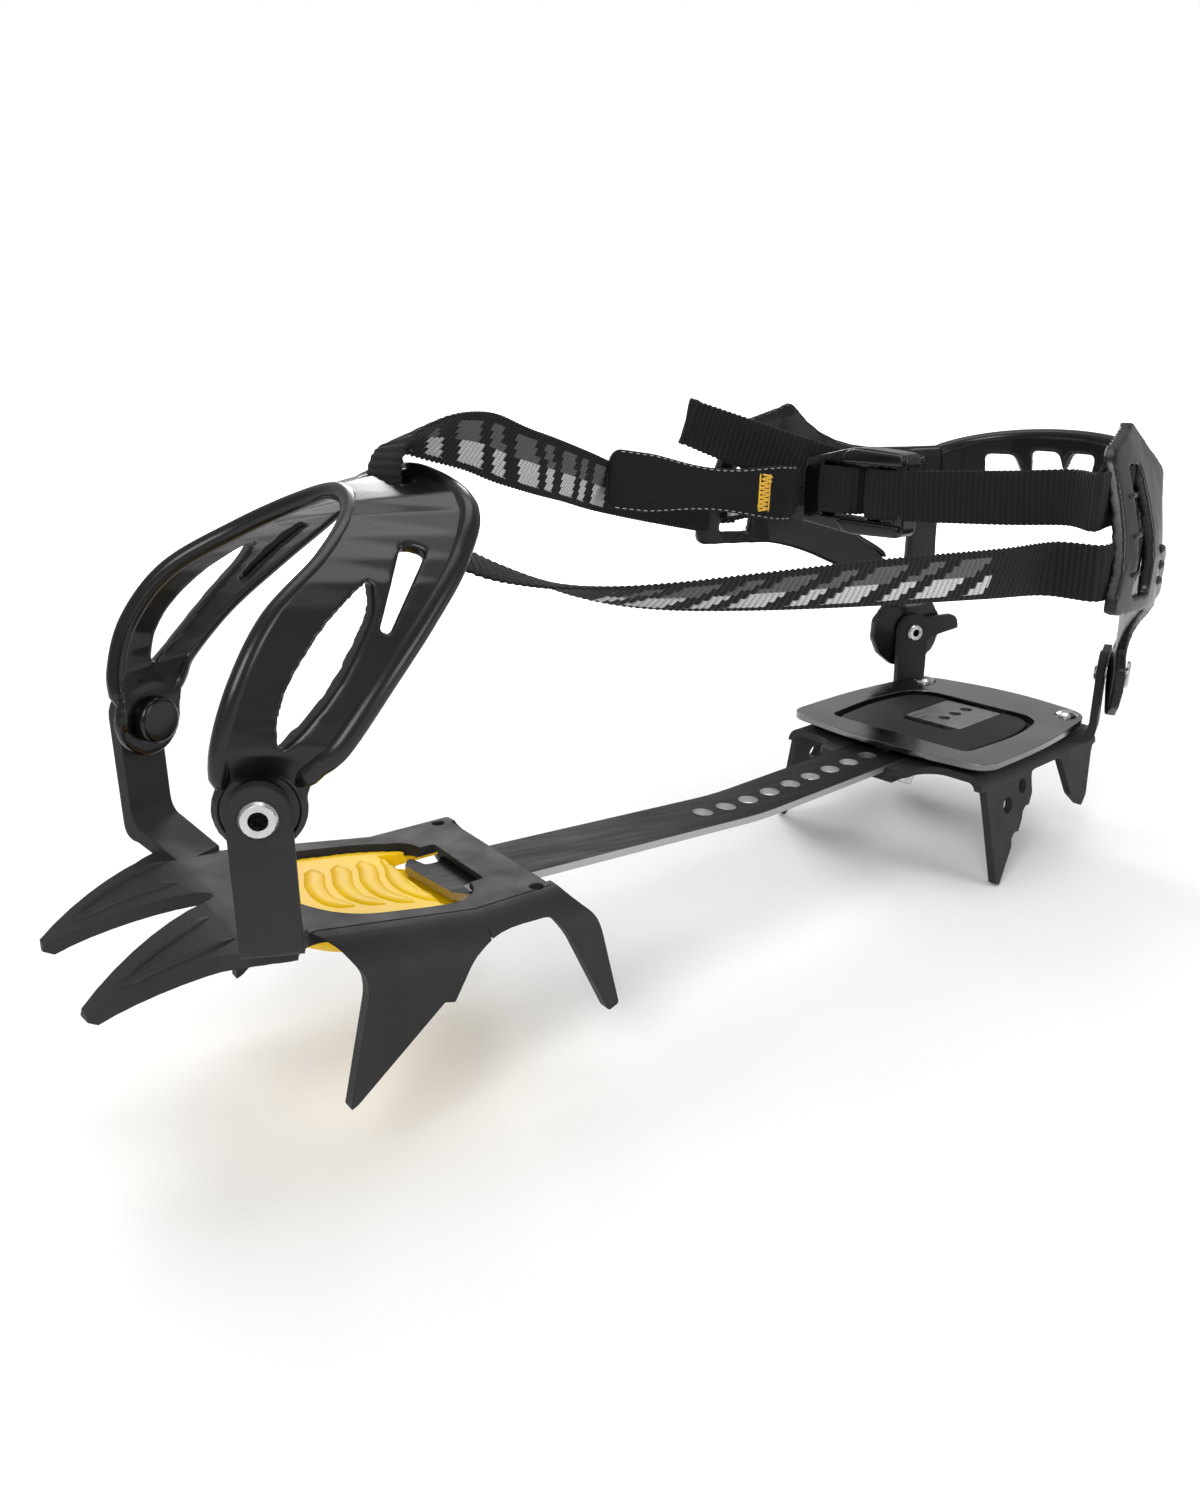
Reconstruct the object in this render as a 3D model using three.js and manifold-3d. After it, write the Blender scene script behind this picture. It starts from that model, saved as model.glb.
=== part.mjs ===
// A strap-on crampon: stamped front plate and heel plate on points, joined by a
// perforated linking bar, with moulded cradles, strap, buckle and pull tab.
// Millimetres. The toe points along -Y, the left side of the crampon is +X, up is +Z.
// The origin is on the top face of the front plate, in the middle of its rear strip.
import * as THREE from 'three';
import { TessellateModifier } from 'three/addons/modifiers/TessellateModifier.js';
import { mergeVertices } from 'three/addons/utils/BufferGeometryUtils.js';
import Module from 'manifold-3d';

const wasm = await Module();
wasm.setup();

// ---------------------------------------------------------------- driving sizes
const GAP = 0.4; // running clearance between neighbouring pieces
const WELD = 0.004; // points closer than this are one point
const STEEL = 3; // front plate sheet
const RAMP_START_Y = -17; // the front plate slopes up ahead of this line
const RAMP_SLOPE = Math.tan(THREE.MathUtils.degToRad(9.6));
const PLATE_REAR_Y = 3.2;
const FLANK_X = 34; // outer face of the side points
const FLANK_RADIUS = 11;
const SIDE_POINT_DEPTH = 31;
const FRONT_TIP = { x: 16.8, y: -97, z: -0.5 };
const NOTCH_Y = -66;

const POST_X = 38.2; // outer face of the front posts, at the pivot
const POST_Y = -67.9;
const POST_Z = 38.5;
const POST_TOE_IN = THREE.MathUtils.degToRad(24.8);
const POST_HALF_WIDTH = 5.7;
const POST_FOOT_Z = 10; // underside of the bent foot

const BAR_WIDTH = 20;
const BAR_THICK = 2;
const BAR_FRONT = { y: -16.5, z: -1.6 }; // top face of the hooked head
const BAR_BEND_Y = 92; // the bar is level behind this point
const BAR_LEVEL_Z = -12; // top face there
const BAR_END = 222.5;
const HOLE_FIRST = 77.3;
const HOLE_PITCH = 9.75;
const HOLE_COUNT = 15;
const HOLE_RADIUS = 3.05;
const BAR_YAW = THREE.MathUtils.degToRad(5.5); // the bar points a little to the right foot side

const HEEL_Y = 201; // middle of the heel frame, measured along the bar
const FRAME_TOP = -7.5;
const FRAME_THICK = 2;
const HEEL_TOP = -12.3; // top of the heel plate sheet
const HEEL_THICK = 2.5;
const HEEL_HALF = 37; // outer face of the heel points
const HEEL_RADIUS = 5;
const CHANNEL_HALF = 10.5; // clear half width of the bar channel
const FAR_LEG_SHIFT = -5; // the right front point stands this much further forward
const HEEL_RIVET = { x: 28.7, y: 30 };
const WINDOW_PLATE = { bottom: -10.2, top: -8.6 }; // heights of the plate in the heel frame's window
const RIVET_SEAT = 0.35; // depth of the recess under a rivet head
const LOCK_HOLE = 11; // bar hole that the lock pin sits under

const REAR_PIVOT = { x: 38.9, y: 33.1, z: 9.6 }; // outer face of the rear posts
const REAR_TOE_IN = THREE.MathUtils.degToRad(21.3);
const CRADLE_THICK = 3.4;
const EAR_RELIEF = 1.3; // cone depth on the ears, so they tilt about the cross axis
const REAR_EAR_GAP = 0.5;
const EAR_RADIUS = 14.6; // rear ear disc
const ARCH_THICK = 3.6;
const WING_REACH = 91; // pivot to the front edge of the strap ring
const EAR_FLAT = 5; // flat part of the ear ahead of its pivot
const WING_BULGE = 8; // the wings swell outwards between ear and strap ring
const WING_LEAN = 15; // and their upper edge leans in, by this at a height of 112
const WEB_WIDTH = 15;
const WEB_THICK = 1.6;

// ---------------------------------------------------------------- materials
const steelBlack = { color: '#3b3b3c', roughness: 0.5, metalness: 0.6 };
const steelPolished = { color: '#5b5b5d', roughness: 0.25, metalness: 0.8 };
const steelBright = { color: '#c9c9cb', roughness: 0.25, metalness: 1 };
const plasticBlack = { color: '#1c1c1d', roughness: 0.35, metalness: 0 };
const plasticYellow = { color: '#ffc400', roughness: 0.25, metalness: 0 };
const rubberBlack = { color: '#1a1a1a', roughness: 0.6, metalness: 0 };
const webbingBlack = { color: '#181818', roughness: 0.85, metalness: 0 };
const leatherBlack = { color: '#202021', roughness: 0.8, metalness: 0 };
const threadYellow = { color: '#f0b51c', roughness: 0.7, metalness: 0 };

// ---------------------------------------------------------------- solid helpers
function solid(geometry) {
  const closed = orientedOut(welded(geometry, 1e-5));
  return new wasm.Manifold(new wasm.Mesh({
    numProp: 3,
    vertProperties: new Float32Array(closed.attributes.position.array),
    triVerts: new Uint32Array(closed.index.array),
  }));
}

// Joins points closer than the tolerance and drops the triangles that vanish with them.
function welded(geometry, tolerance) {
  const bare = geometry.clone();
  bare.deleteAttribute('normal');
  bare.deleteAttribute('uv');
  const joined = mergeVertices(bare, tolerance);
  const corners = joined.index.array;
  const kept = [];
  for (let i = 0; i < corners.length; i += 3) {
    const [a, b, c] = corners.slice(i, i + 3);
    if (a !== b && b !== c && c !== a) kept.push(a, b, c);
  }
  joined.setIndex(kept);
  return joined;
}

function geometryOf(body) {
  const mesh = body.getMesh();
  const geometry = new THREE.BufferGeometry();
  geometry.setAttribute('position', new THREE.BufferAttribute(new Float32Array(mesh.vertProperties), 3));
  geometry.setIndex(new THREE.BufferAttribute(new Uint32Array(mesh.triVerts), 1));
  geometry.computeVertexNormals();
  return geometry;
}

const fuse = (...pieces) => pieces.reduce((a, b) => a.add(b));
const cut = (body, ...tools) => tools.reduce((a, b) => a.subtract(b), body);

// Each frame says where a flat outline (u, v) lies and which way it is extruded.
function frameMatrix(xAxis, yAxis, origin) {
  const zAxis = new THREE.Vector3().crossVectors(xAxis, yAxis);
  return new THREE.Matrix4().makeBasis(xAxis, yAxis, zAxis).setPosition(origin);
}
const axis = (x, y, z) => new THREE.Vector3(x, y, z).normalize();
const ZERO = new THREE.Vector3();
const PLAN = frameMatrix(axis(1, 0, 0), axis(0, 1, 0), ZERO); // (x, y) extruded up
const SIDE = frameMatrix(axis(0, 1, 0), axis(0, 0, 1), ZERO); // (y, z) extruded to +X
const CROSS = frameMatrix(axis(1, 0, 0), axis(0, 0, 1), ZERO); // (x, z) extruded to -Y

// A prism of a THREE.Shape between two heights of its frame.
function prism(shape, from, to, frame = PLAN, curveSegments = 6) {
  const geometry = new THREE.ExtrudeGeometry(shape, {
    depth: to - from,
    bevelEnabled: false,
    curveSegments,
  });
  geometry.translate(0, 0, from);
  geometry.applyMatrix4(frame);
  return solid(geometry);
}

// A closed outline through points [u, v, r]; a corner with r is rounded by that radius.
function outline(points) {
  const shape = new THREE.Shape();
  const corners = points.map(([u, v, r = 0]) => ({ p: new THREE.Vector2(u, v), r }));
  corners.forEach(({ p, r }, i) => {
    const before = corners[(i + corners.length - 1) % corners.length].p;
    const after = corners[(i + 1) % corners.length].p;
    const a = p.clone().add(before.clone().sub(p).setLength(Math.min(r, before.distanceTo(p) * 0.49)));
    const b = p.clone().add(after.clone().sub(p).setLength(Math.min(r, after.distanceTo(p) * 0.49)));
    if (i === 0) shape.moveTo(a.x, a.y);
    else shape.lineTo(a.x, a.y);
    if (r > 0) shape.quadraticCurveTo(p.x, p.y, b.x, b.y);
  });
  shape.closePath();
  return shape;
}

function disc(radius, x = 0, y = 0) {
  const shape = new THREE.Shape();
  shape.absarc(x, y, radius, 0, 2 * Math.PI, false);
  return shape;
}

// A solid turned, shifted or mirrored by a matrix.
const moved = (body, matrix) => solid(geometryOf(body).applyMatrix4(matrix));
const mirrored = (body) => moved(body, new THREE.Matrix4().makeScale(-1, 1, 1));
const turnedAboutZ = (angle, x, y) => new THREE.Matrix4().makeTranslation(x, y, 0).multiply(
  new THREE.Matrix4().makeRotationZ(angle),
);
const tippedAboutX = (angle, y, z) => new THREE.Matrix4().makeTranslation(0, y, z).multiply(
  new THREE.Matrix4().makeRotationX(angle),
);

// A turned piece: profile [radius, height] from axis to axis, standing on its frame.
function turned(profile, frame, segments = 20) {
  const geometry = new THREE.LatheGeometry(profile.map(([r, h]) => new THREE.Vector2(r, h)), segments);
  geometry.rotateX(Math.PI / 2);
  geometry.applyMatrix4(frame);
  return solid(geometry);
}

// A bar of rectangular section lofted through stations {at, across, up}: half width and half
// thickness vectors at each centre point.
function loft(stations) {
  const positions = [];
  for (const { at, across, up } of stations) {
    for (const [a, b] of [[-1, -1], [1, -1], [1, 1], [-1, 1]]) {
      positions.push(
        at.x + a * across.x + b * up.x,
        at.y + a * across.y + b * up.y,
        at.z + a * across.z + b * up.z,
      );
    }
  }
  const index = [];
  const last = stations.length - 1;
  for (let i = 0; i < last; i++) {
    for (let k = 0; k < 4; k++) {
      const a = 4 * i + k;
      const b = 4 * i + ((k + 1) % 4);
      index.push(a, b, b + 4, a, b + 4, a + 4);
    }
  }
  index.push(0, 2, 1, 0, 3, 2);
  index.push(4 * last, 4 * last + 1, 4 * last + 2, 4 * last, 4 * last + 2, 4 * last + 3);
  const geometry = new THREE.BufferGeometry();
  geometry.setAttribute('position', new THREE.Float32BufferAttribute(positions, 3));
  geometry.setIndex(index);
  return orientedOut(geometry);
}

// Flips a closed mesh that faces inwards.
function orientedOut(geometry) {
  const p = geometry.attributes.position;
  const index = geometry.index.array;
  const [a, b, c] = [new THREE.Vector3(), new THREE.Vector3(), new THREE.Vector3()];
  let volume = 0;
  for (let i = 0; i < index.length; i += 3) {
    a.fromBufferAttribute(p, index[i]);
    b.fromBufferAttribute(p, index[i + 1]);
    c.fromBufferAttribute(p, index[i + 2]);
    volume += a.dot(b.clone().cross(c));
  }
  if (volume < 0) {
    for (let i = 0; i < index.length; i += 3) {
      [index[i + 1], index[i + 2]] = [index[i + 2], index[i + 1]];
    }
  }
  geometry.computeVertexNormals();
  return geometry;
}

// ---------------------------------------------------------------- assembly groups
const crampon = new THREE.Group();
const heel = new THREE.Group(); // the heel section lies in the bar's own direction
const barGroup = new THREE.Group();
barGroup.rotation.z = BAR_YAW;
heel.rotation.z = BAR_YAW;
heel.position.set(-Math.sin(BAR_YAW) * HEEL_Y, Math.cos(BAR_YAW) * HEEL_Y, 0);
crampon.add(barGroup, heel);

function addPiece(group, name, shape, finish) {
  const geometry = shape.getMesh ? welded(geometryOf(shape), WELD) : shape;
  geometry.computeVertexNormals();
  const mesh = new THREE.Mesh(geometry, new THREE.MeshStandardMaterial(finish));
  mesh.name = name;
  group.add(mesh);
  return mesh;
}

// ---------------------------------------------------------------- front plate
const rampZ = (y) => Math.max(0, (RAMP_START_Y - y) * RAMP_SLOPE);

// Side view of the sheet: flat, ramp, then front points that curve down to their tips.
function plateProfile(top, bottom) {
  const peakY = NOTCH_Y + 1;
  const peakZ = rampZ(peakY);
  const tip = FRONT_TIP;
  const shape = new THREE.Shape();
  shape.moveTo(PLATE_REAR_Y + 8, top);
  shape.lineTo(RAMP_START_Y, top);
  shape.lineTo(peakY, peakZ + top);
  shape.bezierCurveTo(peakY - 9, peakZ + 1.2 + top, tip.y + 9, tip.z + 5.6 + top, tip.y, tip.z + top);
  shape.lineTo(tip.y - 0.4, tip.z + bottom + 1.9);
  shape.lineTo(tip.y + 1.6, tip.z + bottom + 1);
  const rise = { y: tip.y + 9, z: tip.z + 5.6 + bottom };
  const ease = { y: peakY - 9, z: peakZ + 0.9 + bottom };
  shape.bezierCurveTo(rise.y, rise.z, ease.y, ease.z, peakY, peakZ + bottom);
  shape.lineTo(RAMP_START_Y, bottom);
  shape.lineTo(PLATE_REAR_Y + 8, bottom);
  return shape;
}

function platePlan() {
  const half = new THREE.Shape();
  const tip = FRONT_TIP;
  half.moveTo(0, PLATE_REAR_Y);
  half.lineTo(24, PLATE_REAR_Y);
  half.lineTo(24, -53);
  half.quadraticCurveTo(25, -58, 30, -60);
  half.quadraticCurveTo(31, -66, 26.4, -74);
  half.quadraticCurveTo(22.6, -88, tip.x + 1.7, tip.y);
  half.lineTo(tip.x - 1.8, tip.y - 0.6);
  half.quadraticCurveTo(8.5, -86, 3.8, NOTCH_Y - 6);
  half.quadraticCurveTo(2.4, NOTCH_Y, 0, NOTCH_Y);
  half.closePath();
  return half;
}

// Opening over the snow plate, wider than long, with a straight run behind for the bar head.
function openingShape(grow) {
  return outline([
    [16.5 + grow, -11.2 + grow, 5], [20.4 + grow, -20, 8], [19.6 + grow, -44, 8],
    [9 + grow, -52.5 - grow, 6], [-9 - grow, -52.5 - grow, 6], [-19.6 - grow, -44, 8],
    [-20.4 - grow, -20, 8], [-16.5 - grow, -11.2 + grow, 5],
  ]);
}

// Cross section of a side: the sheet turns down through a quarter circle.
function flankProfile(x0, outer, radius, thick, depth, top) {
  const shape = new THREE.Shape();
  shape.moveTo(x0, top);
  shape.lineTo(outer - radius, top);
  shape.absarc(outer - radius, top - radius, radius, Math.PI / 2, 0, true);
  shape.lineTo(outer, top - depth);
  shape.lineTo(outer - thick, top - depth);
  shape.absarc(outer - radius, top - radius, radius - thick, 0, Math.PI / 2, false);
  shape.lineTo(x0, top - thick + 0.1);
  shape.closePath();
  return shape;
}

// Side view of the secondary point, with its stepped rear edge, and of the rear point.
function sidePointOutline() {
  const deep = -SIDE_POINT_DEPTH;
  return outline([
    [PLATE_REAR_Y + 1, 2], [PLATE_REAR_Y + 1, -0.5, 4], [9.6, -6, 2], [15.4, deep + 0.5, 0.8],
    [12.4, deep - 0.6, 0.8], [1.4, -8, 3], [-1.4, -3.6, 2], [-15, -3.2, 6], [-23.4, -6.6, 3],
    [-28.2, -14.6, 0.4], [-30.6, -13.8, 0.4], [-51.8, deep + 0.6, 0.8], [-53.4, deep, 0.5],
    [-47.6, -6.6, 1], [-47.4, -2.4, 1.5], [-51.6, 4.4, 3], [-56, 6.6], [-56, 16], [-20, 16],
  ]);
}

function frontPost() {
  // Built facing +X at the origin of its own frame, then turned to its toe-in.
  const footReach = 17;
  const rise = 5.4; // the foot climbs from the plate to the post
  const section = new THREE.Shape();
  const bend = 4;
  const foot = POST_FOOT_Z;
  section.moveTo(-footReach, foot - rise + STEEL);
  section.lineTo(-bend - 2, foot + STEEL);
  section.quadraticCurveTo(-STEEL, foot + STEEL + 0.8, -STEEL, foot + bend + 4);
  section.lineTo(-STEEL, 60);
  section.lineTo(0, 60);
  section.lineTo(0, foot + bend);
  section.quadraticCurveTo(0, foot, -bend, foot);
  section.lineTo(-footReach, foot - rise);
  section.closePath();
  const sheet = prism(section, -POST_HALF_WIDTH, POST_HALF_WIDTH, CROSS);
  const face = new THREE.Shape();
  const roundTop = POST_Z + 0.6;
  face.moveTo(-POST_HALF_WIDTH, foot - rise - 1);
  face.lineTo(POST_HALF_WIDTH, foot - rise - 1);
  face.lineTo(POST_HALF_WIDTH, roundTop);
  face.absarc(0, roundTop, POST_HALF_WIDTH, 0, Math.PI, false);
  face.closePath();
  const eye = disc(2.65, 0, POST_Z);
  const shaped = cut(sheet.intersect(prism(face, -40, 5, SIDE)), prism(eye, -10, 5, SIDE, 8));
  return moved(shaped, turnedAboutZ(-POST_TOE_IN, POST_X, POST_Y));
}

function buildFrontPlate() {
  const sheet = prism(plateProfile(0, -STEEL), -40, 40, SIDE, 8);
  const plan = prism(platePlan(), -40, 40);
  const plate = sheet.intersect(plan.add(mirrored(plan)));
  const rearFlank = prism(flankProfile(22, FLANK_X, FLANK_RADIUS, STEEL, 36, -0.05), -18, -RAMP_START_Y, CROSS, 5);
  const levelFlank = prism(flankProfile(22, FLANK_X, FLANK_RADIUS, STEEL, 46, -0.05), -0.3, 45, CROSS, 5);
  const frontFlank = moved(levelFlank, tippedAboutX(-Math.atan(RAMP_SLOPE), RAMP_START_Y, 0));
  const sidePoints = rearFlank.add(frontFlank).intersect(prism(sidePointOutline(), 0, 50, SIDE, 4));
  const half = fuse(sidePoints, frontPost());
  const holes = [-1, 1].map((s) => prism(disc(1.7, s * 22.9, 0), -10, 5, PLAN, 6));
  const slot = outline([[-12, -11.5], [12, -11.5], [12, -7.4, 1], [-12, -7.4, 1]]);
  const barPocket = outline([[-13.2, -12], [13.2, -12], [13.2, 6], [-13.2, 6]]);
  return cut(
    fuse(plate, half, mirrored(half)),
    prism(openingShape(0), -20, 20),
    prism(slot, -20, 20),
    prism(barPocket, -8, -1.5),
    ...holes,
  );
}

// Moulded snow plate: a lipped sheet under the front plate, raised in its opening and
// swelling below it.
function buildFrontSnowPlate() {
  const under = -STEEL - GAP;
  const lip = prism(plateProfile(under, under - 1.8), -40, 40, SIDE, 4)
    .intersect(prism(outline([
      [19, -4, 3], [22.6, -12, 4], [22.6, -50, 6], [10, -59, 5], [-10, -59, 5],
      [-22.6, -50, 6], [-22.6, -12, 4], [-19, -4, 3],
    ]), -40, 40));
  const swell = new THREE.SphereGeometry(1, 20, 12);
  swell.scale(23, 25, 9);
  swell.applyMatrix4(tippedAboutX(THREE.MathUtils.degToRad(-8), -34, -1.6));
  const bulge = solid(swell)
    .intersect(prism(plateProfile(under, under - 14), -40, 40, SIDE, 4));
  const raised = prism(plateProfile(-1.6, under - 0.5), -40, 40, SIDE, 4)
    .intersect(prism(openingShape(-0.5), -20, 20));
  const headRoom = outline([[-16, -20.5], [16, -20.5], [16, 8], [-16, 8]]);
  return cut(fuse(lip, bulge, raised), prism(headRoom, -5.1, 6));
}

// ---------------------------------------------------------------- linking bar
const barSlope = (BAR_LEVEL_Z - BAR_FRONT.z) / (BAR_BEND_Y - BAR_FRONT.y);
const barTopAt = (y) => (y > BAR_BEND_Y ? BAR_LEVEL_Z : BAR_FRONT.z + (y - BAR_FRONT.y) * barSlope);

function buildLinkingBar() {
  const side = new THREE.Shape();
  const ease = 7;
  side.moveTo(BAR_FRONT.y, BAR_FRONT.z);
  side.lineTo(BAR_BEND_Y - ease, barTopAt(BAR_BEND_Y - ease));
  side.quadraticCurveTo(BAR_BEND_Y, BAR_LEVEL_Z, BAR_BEND_Y + ease, BAR_LEVEL_Z);
  side.lineTo(BAR_END, BAR_LEVEL_Z);
  side.lineTo(BAR_END, BAR_LEVEL_Z - BAR_THICK);
  side.lineTo(BAR_BEND_Y + ease, BAR_LEVEL_Z - BAR_THICK);
  side.quadraticCurveTo(
    BAR_BEND_Y, BAR_LEVEL_Z - BAR_THICK, BAR_BEND_Y - ease, barTopAt(BAR_BEND_Y - ease) - BAR_THICK,
  );
  side.lineTo(BAR_FRONT.y, BAR_FRONT.z - BAR_THICK);
  side.closePath();
  const headHalf = 12.6;
  const half = BAR_WIDTH / 2;
  const plan = outline([
    [-headHalf + 3, BAR_FRONT.y], [headHalf - 3, BAR_FRONT.y], [headHalf, BAR_FRONT.y + 2.6, 0.5],
    [headHalf, -12.7, 0.8], [7.6, -12, 1], [7.6, -8, 1], [half, -6.4, 1], [half, BAR_END, 0.6],
    [-half, BAR_END, 0.6], [-half, -6.4, 1], [-7.6, -8, 1], [-7.6, -12, 1],
    [-headHalf, -12.7, 0.8], [-headHalf, BAR_FRONT.y + 2.6, 0.5],
  ]);
  const holes = [];
  for (let i = 0; i < HOLE_COUNT; i++) {
    holes.push(prism(disc(HOLE_RADIUS, 0, HOLE_FIRST + i * HOLE_PITCH), -30, 10, PLAN, 7));
  }
  return cut(prism(side, -20, 20, SIDE, 3).intersect(prism(plan, -40, 20, PLAN, 2)), ...holes);
}

// ---------------------------------------------------------------- heel section
function buildHeelFrame() {
  const ring = outline([
    [-39, -38, 7], [0, -43.5, 30], [39, -38, 7], [39.5, 0, 30], [34, 36, 9], [0, 42.5, 30],
    [-34, 36, 9], [-39.5, 0, 30],
  ]);
  const window = outline([
    [-27, -30.5, 4], [27, -30.5, 4], [29.5, -2, 14], [24.5, 20, 9], [-24.5, 20, 9], [-29.5, -2, 14],
  ]);
  ring.holes.push(window);
  // Each rivet head sits in a coined recess.
  const seats = [-1, 1].flatMap((s) => [
    prism(disc(1.6, s * HEEL_RIVET.x, HEEL_RIVET.y), -30, 0, PLAN, 6),
    prism(disc(4.1, s * HEEL_RIVET.x, HEEL_RIVET.y), FRAME_TOP - RIVET_SEAT, 0, PLAN, 8),
  ]);
  return cut(prism(ring, FRAME_TOP - FRAME_THICK, FRAME_TOP), ...seats);
}

// Sheet cross section: flat sides, a channel for the bar, and points turned down.
function heelSection() {
  const shape = new THREE.Shape();
  const floor = BAR_LEVEL_Z - BAR_THICK - GAP;
  const inner = CHANNEL_HALF;
  const t = HEEL_THICK;
  const r = HEEL_RADIUS;
  const depth = 42;
  const splay = 7.5;
  shape.moveTo(-inner, floor);
  shape.lineTo(inner, floor);
  shape.lineTo(inner, HEEL_TOP);
  shape.lineTo(HEEL_HALF - r, HEEL_TOP);
  shape.absarc(HEEL_HALF - r, HEEL_TOP - r, r, Math.PI / 2, 0, true);
  shape.lineTo(HEEL_HALF + splay, HEEL_TOP - depth);
  shape.lineTo(HEEL_HALF + splay - t, HEEL_TOP - depth);
  shape.absarc(HEEL_HALF - r, HEEL_TOP - r, r - t, 0, Math.PI / 2, false);
  shape.lineTo(inner + t, HEEL_TOP - t);
  shape.lineTo(inner + t, floor - t);
  shape.lineTo(-inner - t, floor - t);
  shape.lineTo(-inner - t, HEEL_TOP - t);
  shape.lineTo(-HEEL_HALF + r, HEEL_TOP - t);
  shape.absarc(-HEEL_HALF + r, HEEL_TOP - r, r - t, Math.PI / 2, Math.PI, false);
  shape.lineTo(-HEEL_HALF - splay + t, HEEL_TOP - depth);
  shape.lineTo(-HEEL_HALF - splay, HEEL_TOP - depth);
  shape.absarc(-HEEL_HALF + r, HEEL_TOP - r, r, Math.PI, Math.PI / 2, true);
  shape.lineTo(-inner, HEEL_TOP);
  shape.closePath();
  return shape;
}

// Side view of the heel sheet: serrated front point, arch and plain rear point.
function heelPointOutline(shift) {
  const floor = BAR_LEVEL_Z - BAR_THICK - GAP - HEEL_THICK;
  const frontLeg = [
    [-33.6, floor - 0.2, 1], [-33, -26, 3], [-32.2, -47.6, 0.4], [-30.2, -48.4, 0.6], [-21.3, -38.3, 0.4],
    [-21, -35.6, 1.4], [-18.4, -34, 1.2], [-16.6, -34.6, 0.3], [-13.7, -30.9, 0.3], [-13.2, -29, 1.4],
    [-11, -27.2, 1.2], [-9, -27.6, 0.3], [-6.4, -24.1, 0.4],
  ].map(([u, z, r]) => [u + shift, z, r]);
  return outline([
    [-50, -6], [-50, floor - 0.2], ...frontLeg, [-6, floor, 2], [13, floor, 2], [18.4, -31, 0.8],
    [24.7, -36.7, 1], [28.6, -33.4, 1], [35, floor, 3], [40, floor], [40, -6],
  ]);
}

// Ear post at the rear corner, rising from a foot on the heel plate.
function rearPost() {
  const t = HEEL_THICK;
  const top = REAR_PIVOT.z;
  const section = new THREE.Shape();
  section.moveTo(-12, HEEL_TOP);
  section.lineTo(-5, HEEL_TOP);
  section.quadraticCurveTo(-t, HEEL_TOP, -t, HEEL_TOP + 5);
  section.lineTo(-t, 30);
  section.lineTo(0, 30);
  section.lineTo(0, HEEL_TOP + 3);
  section.quadraticCurveTo(0, HEEL_TOP - t, -5.5, HEEL_TOP - t);
  section.lineTo(-12, HEEL_TOP - t);
  section.closePath();
  const half = 6;
  // The stop thumb reaches towards the back of the heel, level with the eye.
  const face = new THREE.Shape();
  face.moveTo(-half, HEEL_TOP - 3);
  face.lineTo(half, HEEL_TOP - 3);
  face.lineTo(half, top - 4);
  face.quadraticCurveTo(half + 0.6, top - 2.6, half + 5, top - 1.4);
  face.lineTo(19.6, top + 0.4);
  face.quadraticCurveTo(19.4, top + 5.2, 16.4, top + 5.8);
  face.lineTo(4.5, top + 5.4);
  face.absarc(0, top + 0.4, 6.8, 0.9, Math.PI, false);
  face.closePath();
  const shaped = cut(
    prism(section, -30, 30, CROSS).intersect(prism(face, -20, 5, SIDE)),
    prism(disc(2.3, 0, top), -10, 5, SIDE, 8),
  );
  return moved(shaped, turnedAboutZ(REAR_TOE_IN, REAR_PIVOT.x, REAR_PIVOT.y));
}

function buildHeelPlate() {
  const plan = outline([
    [-17, -50, 4], [17, -50, 4], [17, -42, 3], [22, -36.5, 3], [46, -36.5], [46, 34], [30, 40, 6],
    [-30, 40, 6], [-46, 34], [-46, -40.5], [-22, -40.5, 3], [-17, -43, 3],
  ]);
  const points = prism(heelPointOutline(0), 0, 60, SIDE, 2)
    .add(prism(heelPointOutline(FAR_LEG_SHIFT), -60, 0.01, SIDE, 2));
  const sheet = prism(heelSection(), -40, 50, CROSS, 4)
    .intersect(points)
    .intersect(prism(plan, -70, 0, PLAN, 3));
  const lightening = [[-21.6, -24.6, 2.6], [-12.2, -20.6, 2.3]].flatMap(([y, z, r]) => [
    prism(disc(r, y, z), 20, 60, SIDE, 6),
    prism(disc(r, y + FAR_LEG_SHIFT, z), -60, -20, SIDE, 6),
  ]);
  const lockY = HOLE_FIRST + LOCK_HOLE * HOLE_PITCH - HEEL_Y;
  const pinHole = prism(disc(3.2, 0, lockY), -30, -5, PLAN, 6);
  const rivetHoles = [-1, 1].map((s) => prism(disc(1.6, s * HEEL_RIVET.x, HEEL_RIVET.y), -30, 0, PLAN, 6));
  const whole = fuse(sheet, rearPost(), mirrored(rearPost()));
  return cut(whole, ...lightening, pinHole, ...rivetHoles);
}

// Plate with three gauge holes in the frame's window, over the end of the bar.
function buildWindowPlate() {
  const plan = outline([[-11, -8.6, 1], [11, -8.6, 1], [11, 17.6, 1], [-11, 17.6, 1]]);
  const holes = [-1.5, 5.6, 12.7].map((y) => prism(disc(2.2, 0, y), -20, 0, PLAN, 8));
  return cut(prism(plan, WINDOW_PLATE.bottom, WINDOW_PLATE.top), ...holes);
}

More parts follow.
